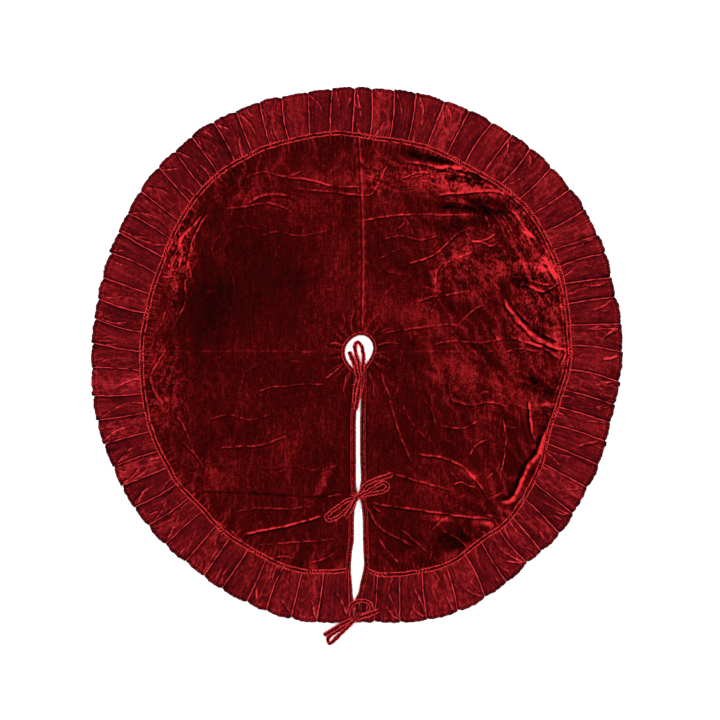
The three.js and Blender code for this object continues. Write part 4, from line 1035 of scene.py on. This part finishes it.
# ------------------------------------------------------------------ the lining under it
def lining_piece(name, side):
    step = 7.0
    ys = np.arange(-602, 602 + step, step)
    us = np.arange(0, 612 + step, step)
    Y, U = np.meshgrid(ys, us, indexing="ij")
    X = np.where(Y > 52, seam_x(Y), slit_x(np.minimum(Y, -39.9), side) + side * 6.0) + side * U
    R = np.hypot(X, Y)
    D = np.degrees(np.arctan2(Y, X)) % 360
    limit = seam_at(D) - 12.0
    hole = inside_hole(X, Y, 8.0)
    keep = (R < limit) & (hole < 0)
    nb = np.zeros_like(keep)
    for dy, dx in ((1, 0), (-1, 0), (0, 1), (0, -1)):
        nb |= np.roll(np.roll(keep, dy, 0), dx, 1)
    rim = (~keep) & nb & (R >= limit)
    X = np.where(rim, limit * np.cos(np.radians(D)), X)
    Y = np.where(rim, limit * np.sin(np.radians(D)), Y)
    ok = keep | rim
    f = grid_faces(*ok.shape)
    f = f[ok.ravel()[f].all(1)]
    used, inv = np.unique(f.ravel(), return_inverse=True)
    f = inv.reshape(-1, 4)
    px, py = X.ravel()[used], Y.ravel()[used]
    ax, ay = px[f], py[f]
    area = 0.5 * (ax * (np.roll(ay, -1, 1) - np.roll(ay, 1, 1))).sum(1)
    sign = np.sign(np.median(area))
    f = f[area * sign > 0.5]
    # the right side of the lining faces the floor
    if sign > 0:
        f = f[:, ::-1]
    z = np.clip(0.75 + 0.30 * noise2(px / 70, py / 70, 51) + 0.15 * noise2(px / 22, py / 22, 52), 0.35, 1.2)
    o = cloth_mesh(name, np.stack([px, py, z], 1), f, np.stack([px, py], 1) * 1e-3, 0.0, 0.0, LINING, name)
    return o


lining_piece("lining_left", -1)
lining_piece("lining_right", 1)


# ------------------------------------------------------------------ the pleated ruffle
def pleat_profile(P, step, flip):
    """One knife pleat seen from the hem, counter-clockwise: distance along the ring and height. The
    fold lies at P, and the cloth turns back under it. Points are dense near the fold."""
    u = min(18.0, 0.36 * P)
    lip = step
    keys = np.array([(0, 1.9), (3, 2.4), (0.13 * P, 2.9), (0.25 * P, 3.4), (0.38 * P, 3.9), (0.50 * P, 4.3), (0.62 * P, 4.7),
                     (0.73 * P, 5.1), (0.84 * P, 4.9 + 0.35 * lip), (P - 3.6, 5.3 + 0.6 * lip), (P - 1.9, 5.6 + 0.75 * lip), (P - 0.7, 5.4 + 0.7 * lip),
                     (P, 5.0 + 0.5 * lip), (P - 0.3, 4.6 + 0.3 * lip), (P - 1.4, 4.3 + 0.2 * lip), (P - 4, 4.2), (P - u / 2, 3.9), (P - u + 1.5, 3.5),
                     (P - u, 3.3), (P - u - 0.6, 3.0), (P - u, 2.6), (P - u + 1.5, 2.2), (P - u / 2, 1.8), (P - 3, 1.7)])
    s = np.concatenate([[0], np.cumsum(np.hypot(*np.diff(keys, axis=0).T))])
    a = s[8]
    fold = s[12]
    q = np.concatenate([np.linspace(0, a, 22, endpoint=False), np.linspace(a, fold, 9), np.linspace(fold, s[-1], 15)[1:]])
    return np.stack([np.interp(q, s, keys[:, 0]), np.interp(q, s, keys[:, 1])], 1)


HELD = len(pleat_profile(40, 2, 0))
TOPS = 31
ROW_V = np.concatenate([np.linspace(0, 0.12, 9), np.linspace(0.14, 0.88, 46), np.linspace(0.892, 1.0, 12)])


def ruffle_strip(name, a0, a1, seed):
    """Pleats between the slit or a joining fold and the next. A column follows a point of the profile from
    the band to the hem; rows are steps outward."""
    span = (a1 - a0) % 360
    inside = sorted([((f[0] - a0) % 360, f) for f in FOLDS if 0.05 < (f[0] - a0) % 360 < span - 0.05])
    first = [f for f in FOLDS if abs((f[0] - a0 + 180) % 360 - 180) < 0.06]
    last = [f for f in FOLDS if abs((f[0] - a1 + 180) % 360 - 180) < 0.06]
    seq = [first[0] if first else [a0, a0]] + [f for _, f in inside] + [last[0] if last else [a1, a1]]
    rs = np.random.RandomState(seed)
    cols = []
    pleats = []
    run = 0.0
    for k in range(len(seq) - 1):
        h0, h1 = seq[k][0], seq[k + 1][0]
        s0, s1 = seq[k][1], seq[k + 1][1]
        dh, ds = (h1 - h0) % 360, (s1 - s0) % 360
        Ph = float(math.radians(dh) * table_at(HEM, (h0 + dh / 2) % 360))
        Ps = float(math.radians(ds) * seam_at((s0 + ds / 2) % 360))
        step = rs.uniform(0.6, 3.2)
        ph, ps = pleat_profile(Ph, step, 0), pleat_profile(Ps, step, 0)
        final = k == len(seq) - 2
        n = HELD if not final else TOPS + 6
        length = np.concatenate([[0], np.cumsum(np.hypot(*np.diff(ph, axis=0).T))])
        if k == 0 and abs(a0 - SLIT_R[0]) > 1e-6:
            for back_mm, z0 in ((-11.0, 1.3), (-7.5, 1.35), (-4.0, 1.4), (-1.5, 1.6)):
                cols.append((h0 + dh * back_mm / Ph, s0 + ds * back_mm / Ps, z0, z0, run + back_mm, HELD + 1, back_mm / Ph, k))
        first_col = len(cols)
        for j in range(n):
            cols.append((h0 + dh * ph[j, 0] / Ph, s0 + ds * ps[j, 0] / Ps, ps[j, 1], ph[j, 1], run + length[j], j, ph[j, 0] / Ph, k))
        pleats.append((first_col, first_col + min(n, TOPS), Ph))
        run += length[n - 1] + 3.0
    ah, as_, zs, zh, U, J, FA, KP = np.array(cols).T
    n_pleats = len(pleats)
    V = ROW_V[:, None]
    R_rows = len(ROW_V)
    top = J < TOPS
    back = (J >= TOPS) & (J <= TOPS + 8)
    under = J > TOPS + 8
    KPi = KP.astype(int)
    # one draw per pleat
    swing = rs.uniform(-1, 1, n_pleats + 1)
    billow = rs.uniform(0.3, 1.0, n_pleats + 1)
    rough = np.clip(rs.gamma(1.6, 0.45, n_pleats + 1), 0.25, 1.1)
    light = rs.uniform(-1, 1, n_pleats + 1)
    key = KP * 7.31 + seed
    A = as_[None, :] * (1 - V) + ah[None, :] * V
    # the fold line between two pleats wanders, and both sheets wander with it
    fold_id = KPi + (J > TOPS * 0.5)
    sw = np.r_[0.0, swing[:n_pleats - 1], 0.0]
    sw0, sw1 = sw[KPi], sw[KPi + 1]
    mixf = np.clip(FA, 0, 1)
    bow = (sw0 * (1 - mixf) + sw1 * mixf)[None, :] * 0.55 * np.sin(np.pi * V ** 0.8)
    jig = 0.16 * noise2(V * 7.0 + fold_id[None, :] * 3.3, A * 0 + seed, seed + 1) * smooth(0.02, 0.2, V) * smooth(1.0, 0.9, V)
    A = A + bow + jig
    rin = seam_at(as_ % 360)[None, :] - 3.0
    rout = table_at(HEM, ah % 360)[None, :]
    # the hem bellies out between the folds, is nicked at each fold, and is gathered in small scallops
    belly = np.where(top, np.sin(np.pi * np.clip(FA, 0, 1)) ** 0.7 * (1.2 + 2.6 * billow[KPi]) - 3.2 * np.exp(-((FA - 1.0) / 0.07) ** 2) - 2.2 * np.exp(-(FA / 0.06) ** 2), -0.4)
    hid = np.where(back, -1.4, 0) + np.where(under, 3.4 * rs.uniform(-1, 1, n_pleats + 1)[KPi] - 0.3, 0)
    small = 3.2 * noise2(U / 12.0, U * 0 + 2.0, seed + 5) + 1.5 * noise2(U / 5.2, U * 0 + 6.0, seed + 4)
    deg_h = ah % 360
    # here the under sheet of the hem shows past the top one
    peek = np.maximum(smooth(140, 158, deg_h) * smooth(214, 200, deg_h), np.maximum(smooth(330, 342, deg_h), smooth(26, 14, deg_h) * (deg_h < 40)))
    peek = np.maximum(peek, 0.8 * smooth(90, 98, deg_h) * smooth(112, 104, deg_h))
    small = small * np.where(top, 1.0, 0.7) - np.where(top | back, 3.0 * peek, -0.4 * peek)
    rout = rout + (belly + hid + small)[None, :] - 1.6
    Rr = rin + (rout - rin) * V
    # flat where it is sewn, full a fifth of the way out
    full = smooth(0.0, 0.2, V)
    lay = 3.1 + (zs[None, :] - 4.0) * 0.40
    Z = lay * (1 - full) + (zs[None, :] * (1 - V) + zh[None, :] * V) * full
    loose = np.where(top, 1.0, 0.2)[None, :] * smooth(0.03, 0.2, V)
    amp = rough[KPi][None, :]
    across = np.clip(FA, 0, 1)[None, :]
    bend = noise2(V * 2.3 + key[None, :] * 1.7, U[None, :] / 46.0, seed + 6)
    cross = noise2(U[None, :] / 12.0, V * 7.5 + key[None, :] * 2.3, seed + 8)
    fine = noise2(U[None, :] / 5.0, V * 22 + key[None, :], seed + 18)
    radial = noise2(U[None, :] / 7.5 + 0.8 * noise2(V * 3, U[None, :] / 20, seed + 12), V * 1.6 + key[None, :], seed + 9)
    ripple = fold_noise(U[None, :] / 22.0 + V * 1.5, V * 3.6 - U[None, :] / 50.0, seed + 7, 0.9)
    Z = Z + loose * (1.0 * bend * (0.5 + billow[KPi])[None, :] + 0.5 * cross * amp + 0.30 * radial + 0.20 * fine * amp + 0.55 * ripple * amp)
    # the middle of a pleat stands up a little like a quill
    Z = Z + np.where(top, 1.3 * np.sin(np.pi * np.clip(FA, 0, 1)) * billow[KPi], 0)[None, :] * smooth(0.05, 0.5, V)
    crease_t = np.zeros((R_rows, len(U)))
    # each pleat's own creases: some run from the fold at the hem towards the band, some branch off
    L_rad = 132.0
    for k, (c0, c1, Ph) in enumerate(pleats):
        fa = FA[c0:c1][None, :]
        count = int(rs.choice([0, 1, 2, 3, 4], p=[0.05, 0.17, 0.28, 0.28, 0.22]))
        for _ in range(count):
            kind = rs.uniform()
            if kind < 0.45:      # from the hem end of the fold inwards, slanting across the pleat
                p0 = (rs.uniform(0.80, 0.97), rs.uniform(0.86, 0.98))
                p1 = (rs.uniform(0.25, 0.75), rs.uniform(0.25, 0.70))
            elif kind < 0.75:    # up from the band
                p0 = (rs.uniform(0.25, 0.85), 0.02)
                p1 = (rs.uniform(0.20, 0.90), rs.uniform(0.25, 0.6))
            else:                # short, near the hem
                p0 = (rs.uniform(0.15, 0.9), rs.uniform(0.80, 0.95))
                p1 = (p0[0] + rs.uniform(-0.25, 0.25), p0[1] - rs.uniform(0.10, 0.30))
            hgt, wid = rs.uniform(0.5, 2.0), rs.uniform(1.1, 2.4)
            curve = rs.uniform(-0.12, 0.12)
            ax, ay = p0[0] * Ph, p0[1] * L_rad
            bx, by = p1[0] * Ph, p1[1] * L_rad
            gx, gy = fa * Ph, V * L_rad
            dx, dy = bx - ax, by - ay
            L2 = dx * dx + dy * dy + 1e-6
            t = ((gx - ax) * dx + (gy - ay) * dy) / L2
            tc = np.clip(t, 0, 1)
            off = ((gx - ax) * dy - (gy - ay) * dx) / math.sqrt(L2) + curve * math.sqrt(L2) * np.sin(np.pi * tc) + 1.2 * noise2(tc * math.sqrt(L2) / 12.0, tc * 0 + k, seed + 20)
            d = np.hypot(off, np.where(t < 0, t, np.where(t > 1, t - 1, 0)) * math.sqrt(L2))
            end = smooth(-0.02, 0.12, tc) * smooth(1.0, 0.7, tc)
            Z[:, c0:c1] += hgt * np.exp(-(d / wid) ** 1.4) * end
            # painted highlight along each crease, painted shade in a strip beside it
            crease_t[:, c0:c1] += (0.18 + 0.22 * hgt) * np.exp(-(d / (0.78 * wid)) ** 1.6) * end * np.clip(0.8 + 1.6 * noise2(gx / 9.0 + gy * 0, gy / 11.0 + gx * 0, seed + 21), 0.1, 1.3) - 0.20 * np.exp(-((off - 1.8 * wid) / (0.9 * wid)) ** 2) * end * (np.abs(t - 0.5) < 0.6)
    # puckers beside the band
    nearband = smooth(0.20, 0.02, V) * np.where(top, 1, 0.3)[None, :]
    pk = np.sin(U[None, :] * 2 * np.pi / 9.4 + 3 * noise2(U[None, :] / 40, V * 0, seed + 11))
    Z = Z + 0.40 * pk * nearband
    # the hem: a rolled edge with small gathers
    hemrow = smooth(0.915, 0.94, V) * smooth(0.985, 0.955, V)
    hp = np.sin(U * 2 * np.pi / 8.2 + 2.5 * noise2(U / 25, U * 0 + 3, seed + 13))[None, :]
    Z = Z - np.where(top, 0.45, 0.15)[None, :] * hemrow + 0.34 * hp * smooth(0.86, 0.95, V) * np.where(top, 1, 0)[None, :]
    Z = np.where(V > 0.972, Z - (V - 0.972) / 0.028 * np.where(top, 1.7, 0.35)[None, :], Z)
    floor = np.where(top, 1.5, np.where(back, 0.9, 0.45))[None, :]
    Z = np.clip(Z, floor, 10.5)
    # layers never pass through each other: the return stays under the top sheet, the underlay under that
    Z = np.where(back[None, :], np.minimum(Z, 4.6 + 0.3 * loose), Z)
    Z = np.where(under[None, :], np.minimum(Z, 2.9), Z)
    rad = np.radians(A)
    X, Y = Rr * np.cos(rad), Rr * np.sin(rad)
    rows = [np.stack([X, Y, Z], -1)]
    rr = Rr[-1]
    for back_by, drop in ((0.1, 0.5), (-0.7, 0.9), (-3.0, 1.1), (-7.0, 1.15)):
        r2 = rr + back_by
        z2 = np.maximum(Z[-1] - drop, 0.3)
        rows.append(np.stack([r2 * np.cos(rad[-1]), r2 * np.sin(rad[-1]), z2], -1)[None])
    P = np.concatenate(rows, 0)
    R_, C_ = P.shape[0], P.shape[1]
    extra = R_ - R_rows
    VV = np.concatenate([ROW_V, np.ones(extra)])[:, None]

    def grow(f):
        return np.concatenate([f, np.repeat(f[-1:], extra, 0)], 0)

    # painted highlight along the crest just short of the fold, painted shadow just past it where the next pleat goes
    # under, and a weaker painted shadow about 5 mm before the fold
    width_mm = np.array([q[2] for q in pleats])[np.minimum(KPi, n_pleats - 1)]
    short = (1 - FA) * width_mm
    crest = np.exp(-(np.abs(short - 1.3) / 1.5) ** 2) * top
    dark = 1.35 * np.exp(-((FA * width_mm) / 3.0) ** 2) * top
    dark = dark + 0.55 * np.exp(-((short - 5.0) / 2.0) ** 2) * top
    broken = np.clip(0.75 + 1.1 * noise2(VV * 6.5 + key[None, :], VV * 0 + 1.0, seed + 15), 0.25, 1.3)
    # painted shade on the sheets under the top one, a slight painted highlight across the middle of each pleat and on
    # the ripples, and random tone per pleat
    tone = (0.80 * crest[None, :] * broken - 0.22 * dark[None, :] - 0.20 * (~top)[None, :]
            + 0.045 * light[KPi][None, :]
            + 0.03 * np.where(top, np.sin(np.pi * np.clip(FA, 0, 1)) * 2 - 1, 0)[None, :])
    tone = tone + np.where(top, 1, 0)[None, :] * (grow(crease_t) + 0.13 * (grow(ripple * amp) - 0.2) + 0.13 * grow(radial) + 0.07 * grow(cross * amp) + 0.07 * grow(bend) + 0.05 * grow(fine))
    # painted shade along the rolled hem and at its very edge, a painted highlight on the gathers just inside it, and
    # painted shade next to the band
    hems = smooth(0.925, 0.945, VV) * smooth(0.985, 0.96, VV)
    tone = tone - 0.09 * hems - 0.16 * smooth(0.975, 1.0, VV) + 0.09 * smooth(0.88, 0.905, VV) * smooth(0.94, 0.915, VV) * (0.5 + 0.5 * hp)
    tone = tone + 0.06 * hp * smooth(0.86, 0.95, VV) - 0.10 * smooth(0.05, 0.0, VV)
    crush = 0.08 + 0.25 * np.clip(rough - 0.3, 0, 1)[KPi]
    UVm = np.stack(np.broadcast_arrays(U[None, :] * 1e-3, VV * 0.135), -1)
    f = grid_faces(R_, C_)
    o = cloth_mesh(name, P.reshape(-1, 3), f, UVm.reshape(-1, 2), tone.ravel(),
                   np.broadcast_to(crush[None, :], (R_, C_)).ravel(), VELVET_RUFFLE, name)
    return o


JOINS = [17.3, 65.6, 116.5, 163.0, 208.9, 323.9]
EDGE_R = math.degrees(math.atan2(-706, float(slit_x(-700, 1)))) % 360
EDGE_L = math.degrees(math.atan2(-706, float(slit_x(-700, -1)))) % 360


def slit_end(side):
    """The two angles at hem and seam where a strip meets the slit."""
    y0, y1 = (-562.0 if side > 0 else -572.0), -706.0
    a = math.degrees(math.atan2(y0, float(slit_x(y0, side)) + side * 6.0)) % 360
    b = math.degrees(math.atan2(y1, float(slit_x(y1, side)) + side * 8.0)) % 360
    return [b, a]


SLIT_R, SLIT_L = slit_end(1), slit_end(-1)
FOLDS = FOLDS + [SLIT_R, SLIT_L]
for i, (a, b) in enumerate([(SLIT_R[0], 323.9), (323.9, 17.3), (17.3, 65.6), (65.6, 116.5), (116.5, 163.0), (163.0, 208.9), (208.9, SLIT_L[0])]):
    ruffle_strip("ruffle_strip_%d" % (i + 1), a, b, 101 + 17 * i)


# ------------------------------------------------------------------ the gathered band over the seam
def band_piece(name, a0, a1, seed):
    """A narrow strip of the same velvet sewn over the seam: two rolled edges, a sunk channel and
    the gathers of the stitching between them."""
    step = 0.115
    n = int(round((a1 - a0) / step)) + 1
    deg = np.linspace(a0, a1, n)
    r = seam_at(deg)
    arc = np.concatenate([[0], np.cumsum(np.hypot(np.diff(r), np.radians(np.diff(deg)) * r[1:]))])
    K = 23
    c = np.linspace(-1, 1, K)
    # the gathers push the line in and out a little
    wob = 1.5 * noise2(arc / 26.0, arc * 0, seed) + 0.9 * noise2(arc / 9.0, arc * 0 + 3, seed + 1)
    wide = 7.0 * (1 + 0.22 * noise2(arc / 30.0, arc * 0 + 7, seed + 2) + 0.10 * noise2(arc / 9.0, arc * 0 + 4, seed + 12))
    W = wide[:, None] * c[None, :] + wob[:, None]
    phase = 2 * np.pi * arc / 8.4 + 5.0 * noise2(arc / 34, arc * 0, seed + 3)
    edge_lump = 0.5 + 0.5 * np.sin(phase)
    edge_lump2 = 0.5 + 0.5 * np.sin(phase + 2.6)
    # how tightly it is gathered here: 0 smooth, 1 crossed by puckers like a braid
    tight = smooth(-0.10, 0.35, noise2(arc / 58.0, arc * 0 + 2, seed + 10) + 0.20 * smooth(225, 262, deg % 360) * (deg % 360 < 270) + 0.28 * np.exp(-(((deg % 360) - 148) / 6.0) ** 2))
    lean = np.sign(noise2(arc / 90, arc * 0 + 2, seed + 4))
    gather = 0.5 + 0.5 * np.sin(phase[:, None] + 2 * np.pi * c[None, :] * 0.62 * lean[:, None] + 1.2 * noise2(arc / 12, arc * 0, seed + 5)[:, None])
    gather = gather ** 1.6
    left_edge = np.exp(-((c + 0.70) / 0.19) ** 2)[None, :]
    right_edge = np.exp(-((c - 0.70) / 0.19) ** 2)[None, :]
    extra = smooth(-70, -20, deg)[:, None] * smooth(95, 60, deg)[:, None]
    mid_ridge = np.exp(-((c - 0.10) / 0.15) ** 2)[None, :] * extra * np.clip(0.6 + 1.6 * noise2(arc / 18.0, arc * 0, seed + 13), 0.1, 1.2)[:, None]
    body = (1 - np.abs(c) ** 3)[None, :]
    middle = np.exp(-(c / 0.60) ** 4)[None, :]
    z = 3.7 + 0.9 * body + 1.5 * (left_edge * (0.66 + 0.50 * edge_lump[:, None]) + right_edge * (0.66 + 0.50 * edge_lump2[:, None]))
    z = z + 0.8 * mid_ridge + (0.35 + 1.25 * tight[:, None]) * (gather - 0.4) * middle
    z = z + 0.35 * noise2(arc[:, None] / 4.5, c[None, :] * 2.4, seed + 6)
    # the two raw edges turn under
    z[:, 0] = 2.7
    z[:, -1] = 2.9
    z[:, 1] = np.minimum(z[:, 1], 4.3)
    z[:, -2] = np.minimum(z[:, -2], 4.5)
    radial = r[:, None] + W
    a = np.radians(deg)[:, None]
    P = np.stack([radial * np.cos(a), radial * np.sin(a), z], -1)
    # tone: painted highlights on the rolled edges, the ridge and the gathers, painted shade in the sunk channel
    keep_a = 0.55 + 0.45 * np.clip(noise2(arc / 16.0, arc * 0 + 4, seed + 7) * 3.0 + 0.35, -1, 1)
    keep_b = 0.55 + 0.45 * np.clip(noise2(arc / 15.0, arc * 0 + 9, seed + 8) * 3.0 + 0.45, -1, 1)
    tone = (0.78 * left_edge * (keep_a * (0.7 + 0.45 * edge_lump))[:, None] + 0.78 * right_edge * (keep_b * (0.7 + 0.45 * edge_lump2))[:, None]
            + 0.34 * mid_ridge + (0.16 + 0.55 * tight[:, None]) * (gather - 0.35) * middle
            - 0.16 * np.exp(-(c / 0.40) ** 2)[None, :] * (1 - 0.8 * mid_ridge) * (1 - tight)[:, None]
            + 0.12 * noise2(arc[:, None] / 7, c[None, :] * 2, seed + 9))
    UV = np.stack(np.broadcast_arrays(c[None, :] * 0.010, (arc * 1e-3)[:, None]), -1)
    o = cloth_mesh(name, P.reshape(-1, 3), grid_faces(n, K)[:, ::-1], UV.reshape(-1, 2), tone.ravel(), 0.35, VELVET_TRIM, name)
    return o


BAND_END_L = math.degrees(math.atan2(-571.0, -17.0 - 14.0)) % 360
BAND_END_R = math.degrees(math.atan2(-562.0, 18.0 + 12.0)) % 360
band_piece("seam_band_left", 93.2, BAND_END_L, 301)
band_piece("seam_band_right", BAND_END_R - 360, 93.1, 331)


# ------------------------------------------------------------------ plackets down the slit
def placket_piece(name, side, seed):
    """The facing strip along one edge of the slit: a rolled edge that wraps down into the slit,
    two rows of stitching with a soft ridge beside each."""
    y_top = -41.0
    ys = np.concatenate([np.arange(y_top, -709.0, -1.3), [-709.0]])
    n = len(ys)
    w = placket_width(ys, side)
    x0 = slit_x(ys, side)
    # under the lowest bow the two edges are drawn together
    drawn = (slit_x(ys, 1) - slit_x(ys, -1)) * smooth(-628, -660, ys) * (0.72 if side > 0 else 0.25)
    x0 = x0 - side * drawn
    w = w + drawn
    arc = -(ys - y_top)
    # across: under the edge, round it, over the top to the outer edge and down
    c = np.concatenate([[-0.10, -0.055, -0.03, -0.005], np.linspace(0.03, 0.97, 20), [0.99, 1.0]])
    K = len(c)
    wob = 1.2 * noise2(arc / 16.0, arc * 0, seed) + 0.5 * noise2(arc / 6.0, arc * 0, seed + 6)
    X = x0[:, None] + side * (np.clip(c, 0, 1)[None, :] * w[:, None] + (wob * 0.5)[:, None] + 0.5)
    X[:, 0] = x0 + side * 2.6
    X[:, 1] = x0 + side * 0.9
    X[:, 2] = x0 + side * 0.35
    X[:, 3] = x0 + side * 0.25
    gaze = 0.5 + 0.5 * np.clip(2.6 * noise2(arc / 19.0, arc * 0 + 6, seed + 7) + 0.3, -1, 1)
    lump = 0.5 + 0.28 * np.sin(2 * np.pi * arc / 8.4 + 9 * noise2(arc / 25, arc * 0, seed + 1)) + 0.7 * noise2(arc / 6.0, arc * 0, seed + 8)
    lump2 = 0.5 + 0.28 * np.sin(2 * np.pi * arc / 8.4 + 9 * noise2(arc / 25, arc * 0, seed + 1) + 2.4) + 0.7 * noise2(arc / 7.0, arc * 0 + 3, seed + 9)
    lump, lump2 = np.clip(lump, 0, 1.2) * gaze, np.clip(lump2, 0, 1.2) * (1.1 - 0.6 * gaze)
    d = c[None, :] * w[:, None]
    stitch1 = np.exp(-((d - w[:, None] * 0.52) / 1.1) ** 2)
    ridge1 = np.exp(-((d - w[:, None] * 0.66) / 1.6) ** 2)
    stitch2 = np.exp(-((d - (w[:, None] - 2.6)) / 1.0) ** 2)
    ridge2 = np.exp(-((d - (w[:, None] - 0.9)) / 1.0) ** 2)
    roll = np.exp(-((d - 1.6) / 2.0) ** 2)
    z = 4.0 + 0.25 * noise2(arc[:, None] / 8.0, c[None, :] * 3.0, seed + 2)
    z = z + 0.85 * roll * (0.75 + 0.35 * lump[:, None]) - 0.75 * stitch1 + 0.75 * ridge1 * (0.6 + 0.7 * lump2[:, None])
    z = z - 0.55 * stitch2 + 0.95 * ridge2 * (0.65 + 0.6 * lump[:, None])
    z = z + 0.4 * noise2(arc / 21.0, arc * 0 + 5, seed + 3)[:, None]
    z[:, 0] = 0.5
    z[:, 1] = 0.9
    z[:, 2] = 2.0
    z[:, 3] = 3.3
    z[:, -2] = np.minimum(z[:, -2], 4.2)
    z[:, -1] = 3.05
    z = np.maximum(z, 0.4)
    Y = np.broadcast_to(ys[:, None], X.shape)
    P = np.stack([X, Y, z], -1)
    # tone: painted highlights on the roll and the ridges, painted shade in the stitch grooves
    tone = (0.22 * roll * (0.5 + 0.8 * lump[:, None]) - 0.24 * stitch1 + 0.36 * ridge1 * (0.2 + lump2[:, None])
            - 0.20 * stitch2 + 0.50 * ridge2 * (0.4 + 0.9 * lump[:, None]) + 0.10 * noise2(arc[:, None] / 9.0, c[None, :] * 2.0, seed + 4))
    # painted shade where the strip turns down into the slit
    tone[:, :4] = -0.25
    UV = np.stack(np.broadcast_arrays(c[None, :] * 0.016, (arc * 1e-3)[:, None]), -1)
    f = grid_faces(n, K)
    if side > 0:
        f = f[:, ::-1]
    o = cloth_mesh(name, P.reshape(-1, 3), f, UV.reshape(-1, 2), tone.ravel(), 0.35, VELVET_TRIM, name)
    return o


placket_piece("placket_left", -1, 401)
placket_piece("placket_right", 1, 431)


# ------------------------------------------------------------------ the binding round the hole
def hole_piece():
    pts = np.vstack([HOLE, HOLE[:1]])
    # start and end at the slit's two sides
    s = np.concatenate([[0], np.cumsum(np.hypot(*np.diff(pts, axis=0).T))])
    total = s[-1]
    q = np.linspace(0, total, 420)
    x = np.interp(q, s, pts[:, 0])
    y = np.interp(q, s, pts[:, 1])
    k = np.ones(15) / 15
    for _ in range(2):
        x = np.convolve(np.r_[x[-15:], x, x[:15]], k, "same")[15:-15]
        y = np.convolve(np.r_[y[-15:], y, y[:15]], k, "same")[15:-15]
    keep = y > -41.5
    i0 = np.argmax(~keep)
    order = np.r_[np.arange(len(q))[:]]
    idx = np.array([i for i in order if keep[i]])
    # put the gap at the ends
    gaps = np.where(np.diff(idx) > 1)[0]
    if len(gaps):
        idx = np.r_[idx[gaps[0] + 1:], idx[:gaps[0] + 1]]
    x, y = x[idx], y[idx]
    n = len(x)
    tx, ty = np.gradient(x), np.gradient(y)
    L = np.hypot(tx, ty)
    nx, ny = ty / L, -tx / L          # outward: the ring runs counter-clockwise
    c = HOLE.mean(0)
    if ((nx * (x - c[0]) + ny * (y - c[1])).mean()) < 0:
        nx, ny = -nx, -ny
    arc = np.cumsum(L)
    b = np.array([2.8, 0.9, 0.35, 0.3, 0.9, 1.7, 2.6, 3.4, 4.2, 4.9, 5.6, 6.3, 7.0, 7.6, 8.2, 8.8, 9.3, 9.5])
    d = np.clip(b, 0, 99)
    K = len(b)
    pk = 0.5 + 0.5 * np.sin(2 * np.pi * arc / 6.6 + 2.2 * noise2(arc / 22, arc * 0, 501))
    pk2 = 0.5 + 0.5 * np.sin(2 * np.pi * arc / 8.0 + 6 * noise2(arc / 22, arc * 0, 501) + 2.2)
    pk = np.clip(0.6 * pk + 0.9 * noise2(arc / 6.5, arc * 0, 511) + 0.15, 0, 1.2)
    pk2 = np.clip(0.6 * pk2 + 1.1 * noise2(arc / 8.5, arc * 0, 512) + 0.2, 0, 1.3)
    z = 4.0 + 1.25 * np.exp(-((d - 2.5) / 1.7) ** 2)[None, :] * (0.7 + 0.5 * pk[:, None])
    z = z - 1.0 * np.exp(-((d - 5.6) / 1.2) ** 2)[None, :]
    z = z + 1.15 * np.exp(-((d - 8.0) / 1.1) ** 2)[None, :] * (0.6 + 0.7 * pk2[:, None])
    z = z + 0.3 * noise2(arc[:, None] / 6.0, d[None, :] / 3.0, 502)
    z[:, 0], z[:, 1], z[:, 2], z[:, 3] = 0.5, 0.9, 2.0, 3.4
    z[:, -1] = 3.0
    X = x[:, None] + nx[:, None] * d[None, :]
    Y = y[:, None] + ny[:, None] * d[None, :]
    P = np.stack([X, Y, z], -1)
    # tone: painted highlights on the two ridges, painted shade in the groove between
    tone = (0.26 * np.exp(-((d - 2.3) / 1.3) ** 2)[None, :] * (0.4 + pk[:, None]) - 0.24 * np.exp(-((d - 5.2) / 1.1) ** 2)[None, :]
            + 0.55 * np.exp(-((d - 8.1) / 1.1) ** 2)[None, :] * (0.25 + pk2[:, None]) + 0.08 * noise2(arc[:, None] / 6, d[None, :] / 3, 503))
    # painted shade where the binding turns down into the hole
    tone[:, :3] = -0.25
    UV = np.stack(np.broadcast_arrays((d * 1e-3)[None, :], (arc * 1e-3)[:, None]), -1)
    f = grid_faces(n, K)
    o = cloth_mesh("hole_binding", P.reshape(-1, 3), f, UV.reshape(-1, 2), tone.ravel(), 0.35, VELVET_TRIM, "hole_binding")
    return o


hole_piece()

# ------------------------------------------------------------------ floor
bpy.ops.mesh.primitive_plane_add(size=14.0, location=(0, 0, 0))
floor = bpy.context.object
floor.name = "floor"
fm = bpy.data.materials.new("floor_white")
fm.use_nodes = True
fb = fm.node_tree.nodes["Principled BSDF"]
fb.inputs["Base Color"].default_value = (0.93, 0.93, 0.93, 1)
fb.inputs["Roughness"].default_value = 0.9
floor.data.materials.append(fm)

bpy.context.view_layer.update()
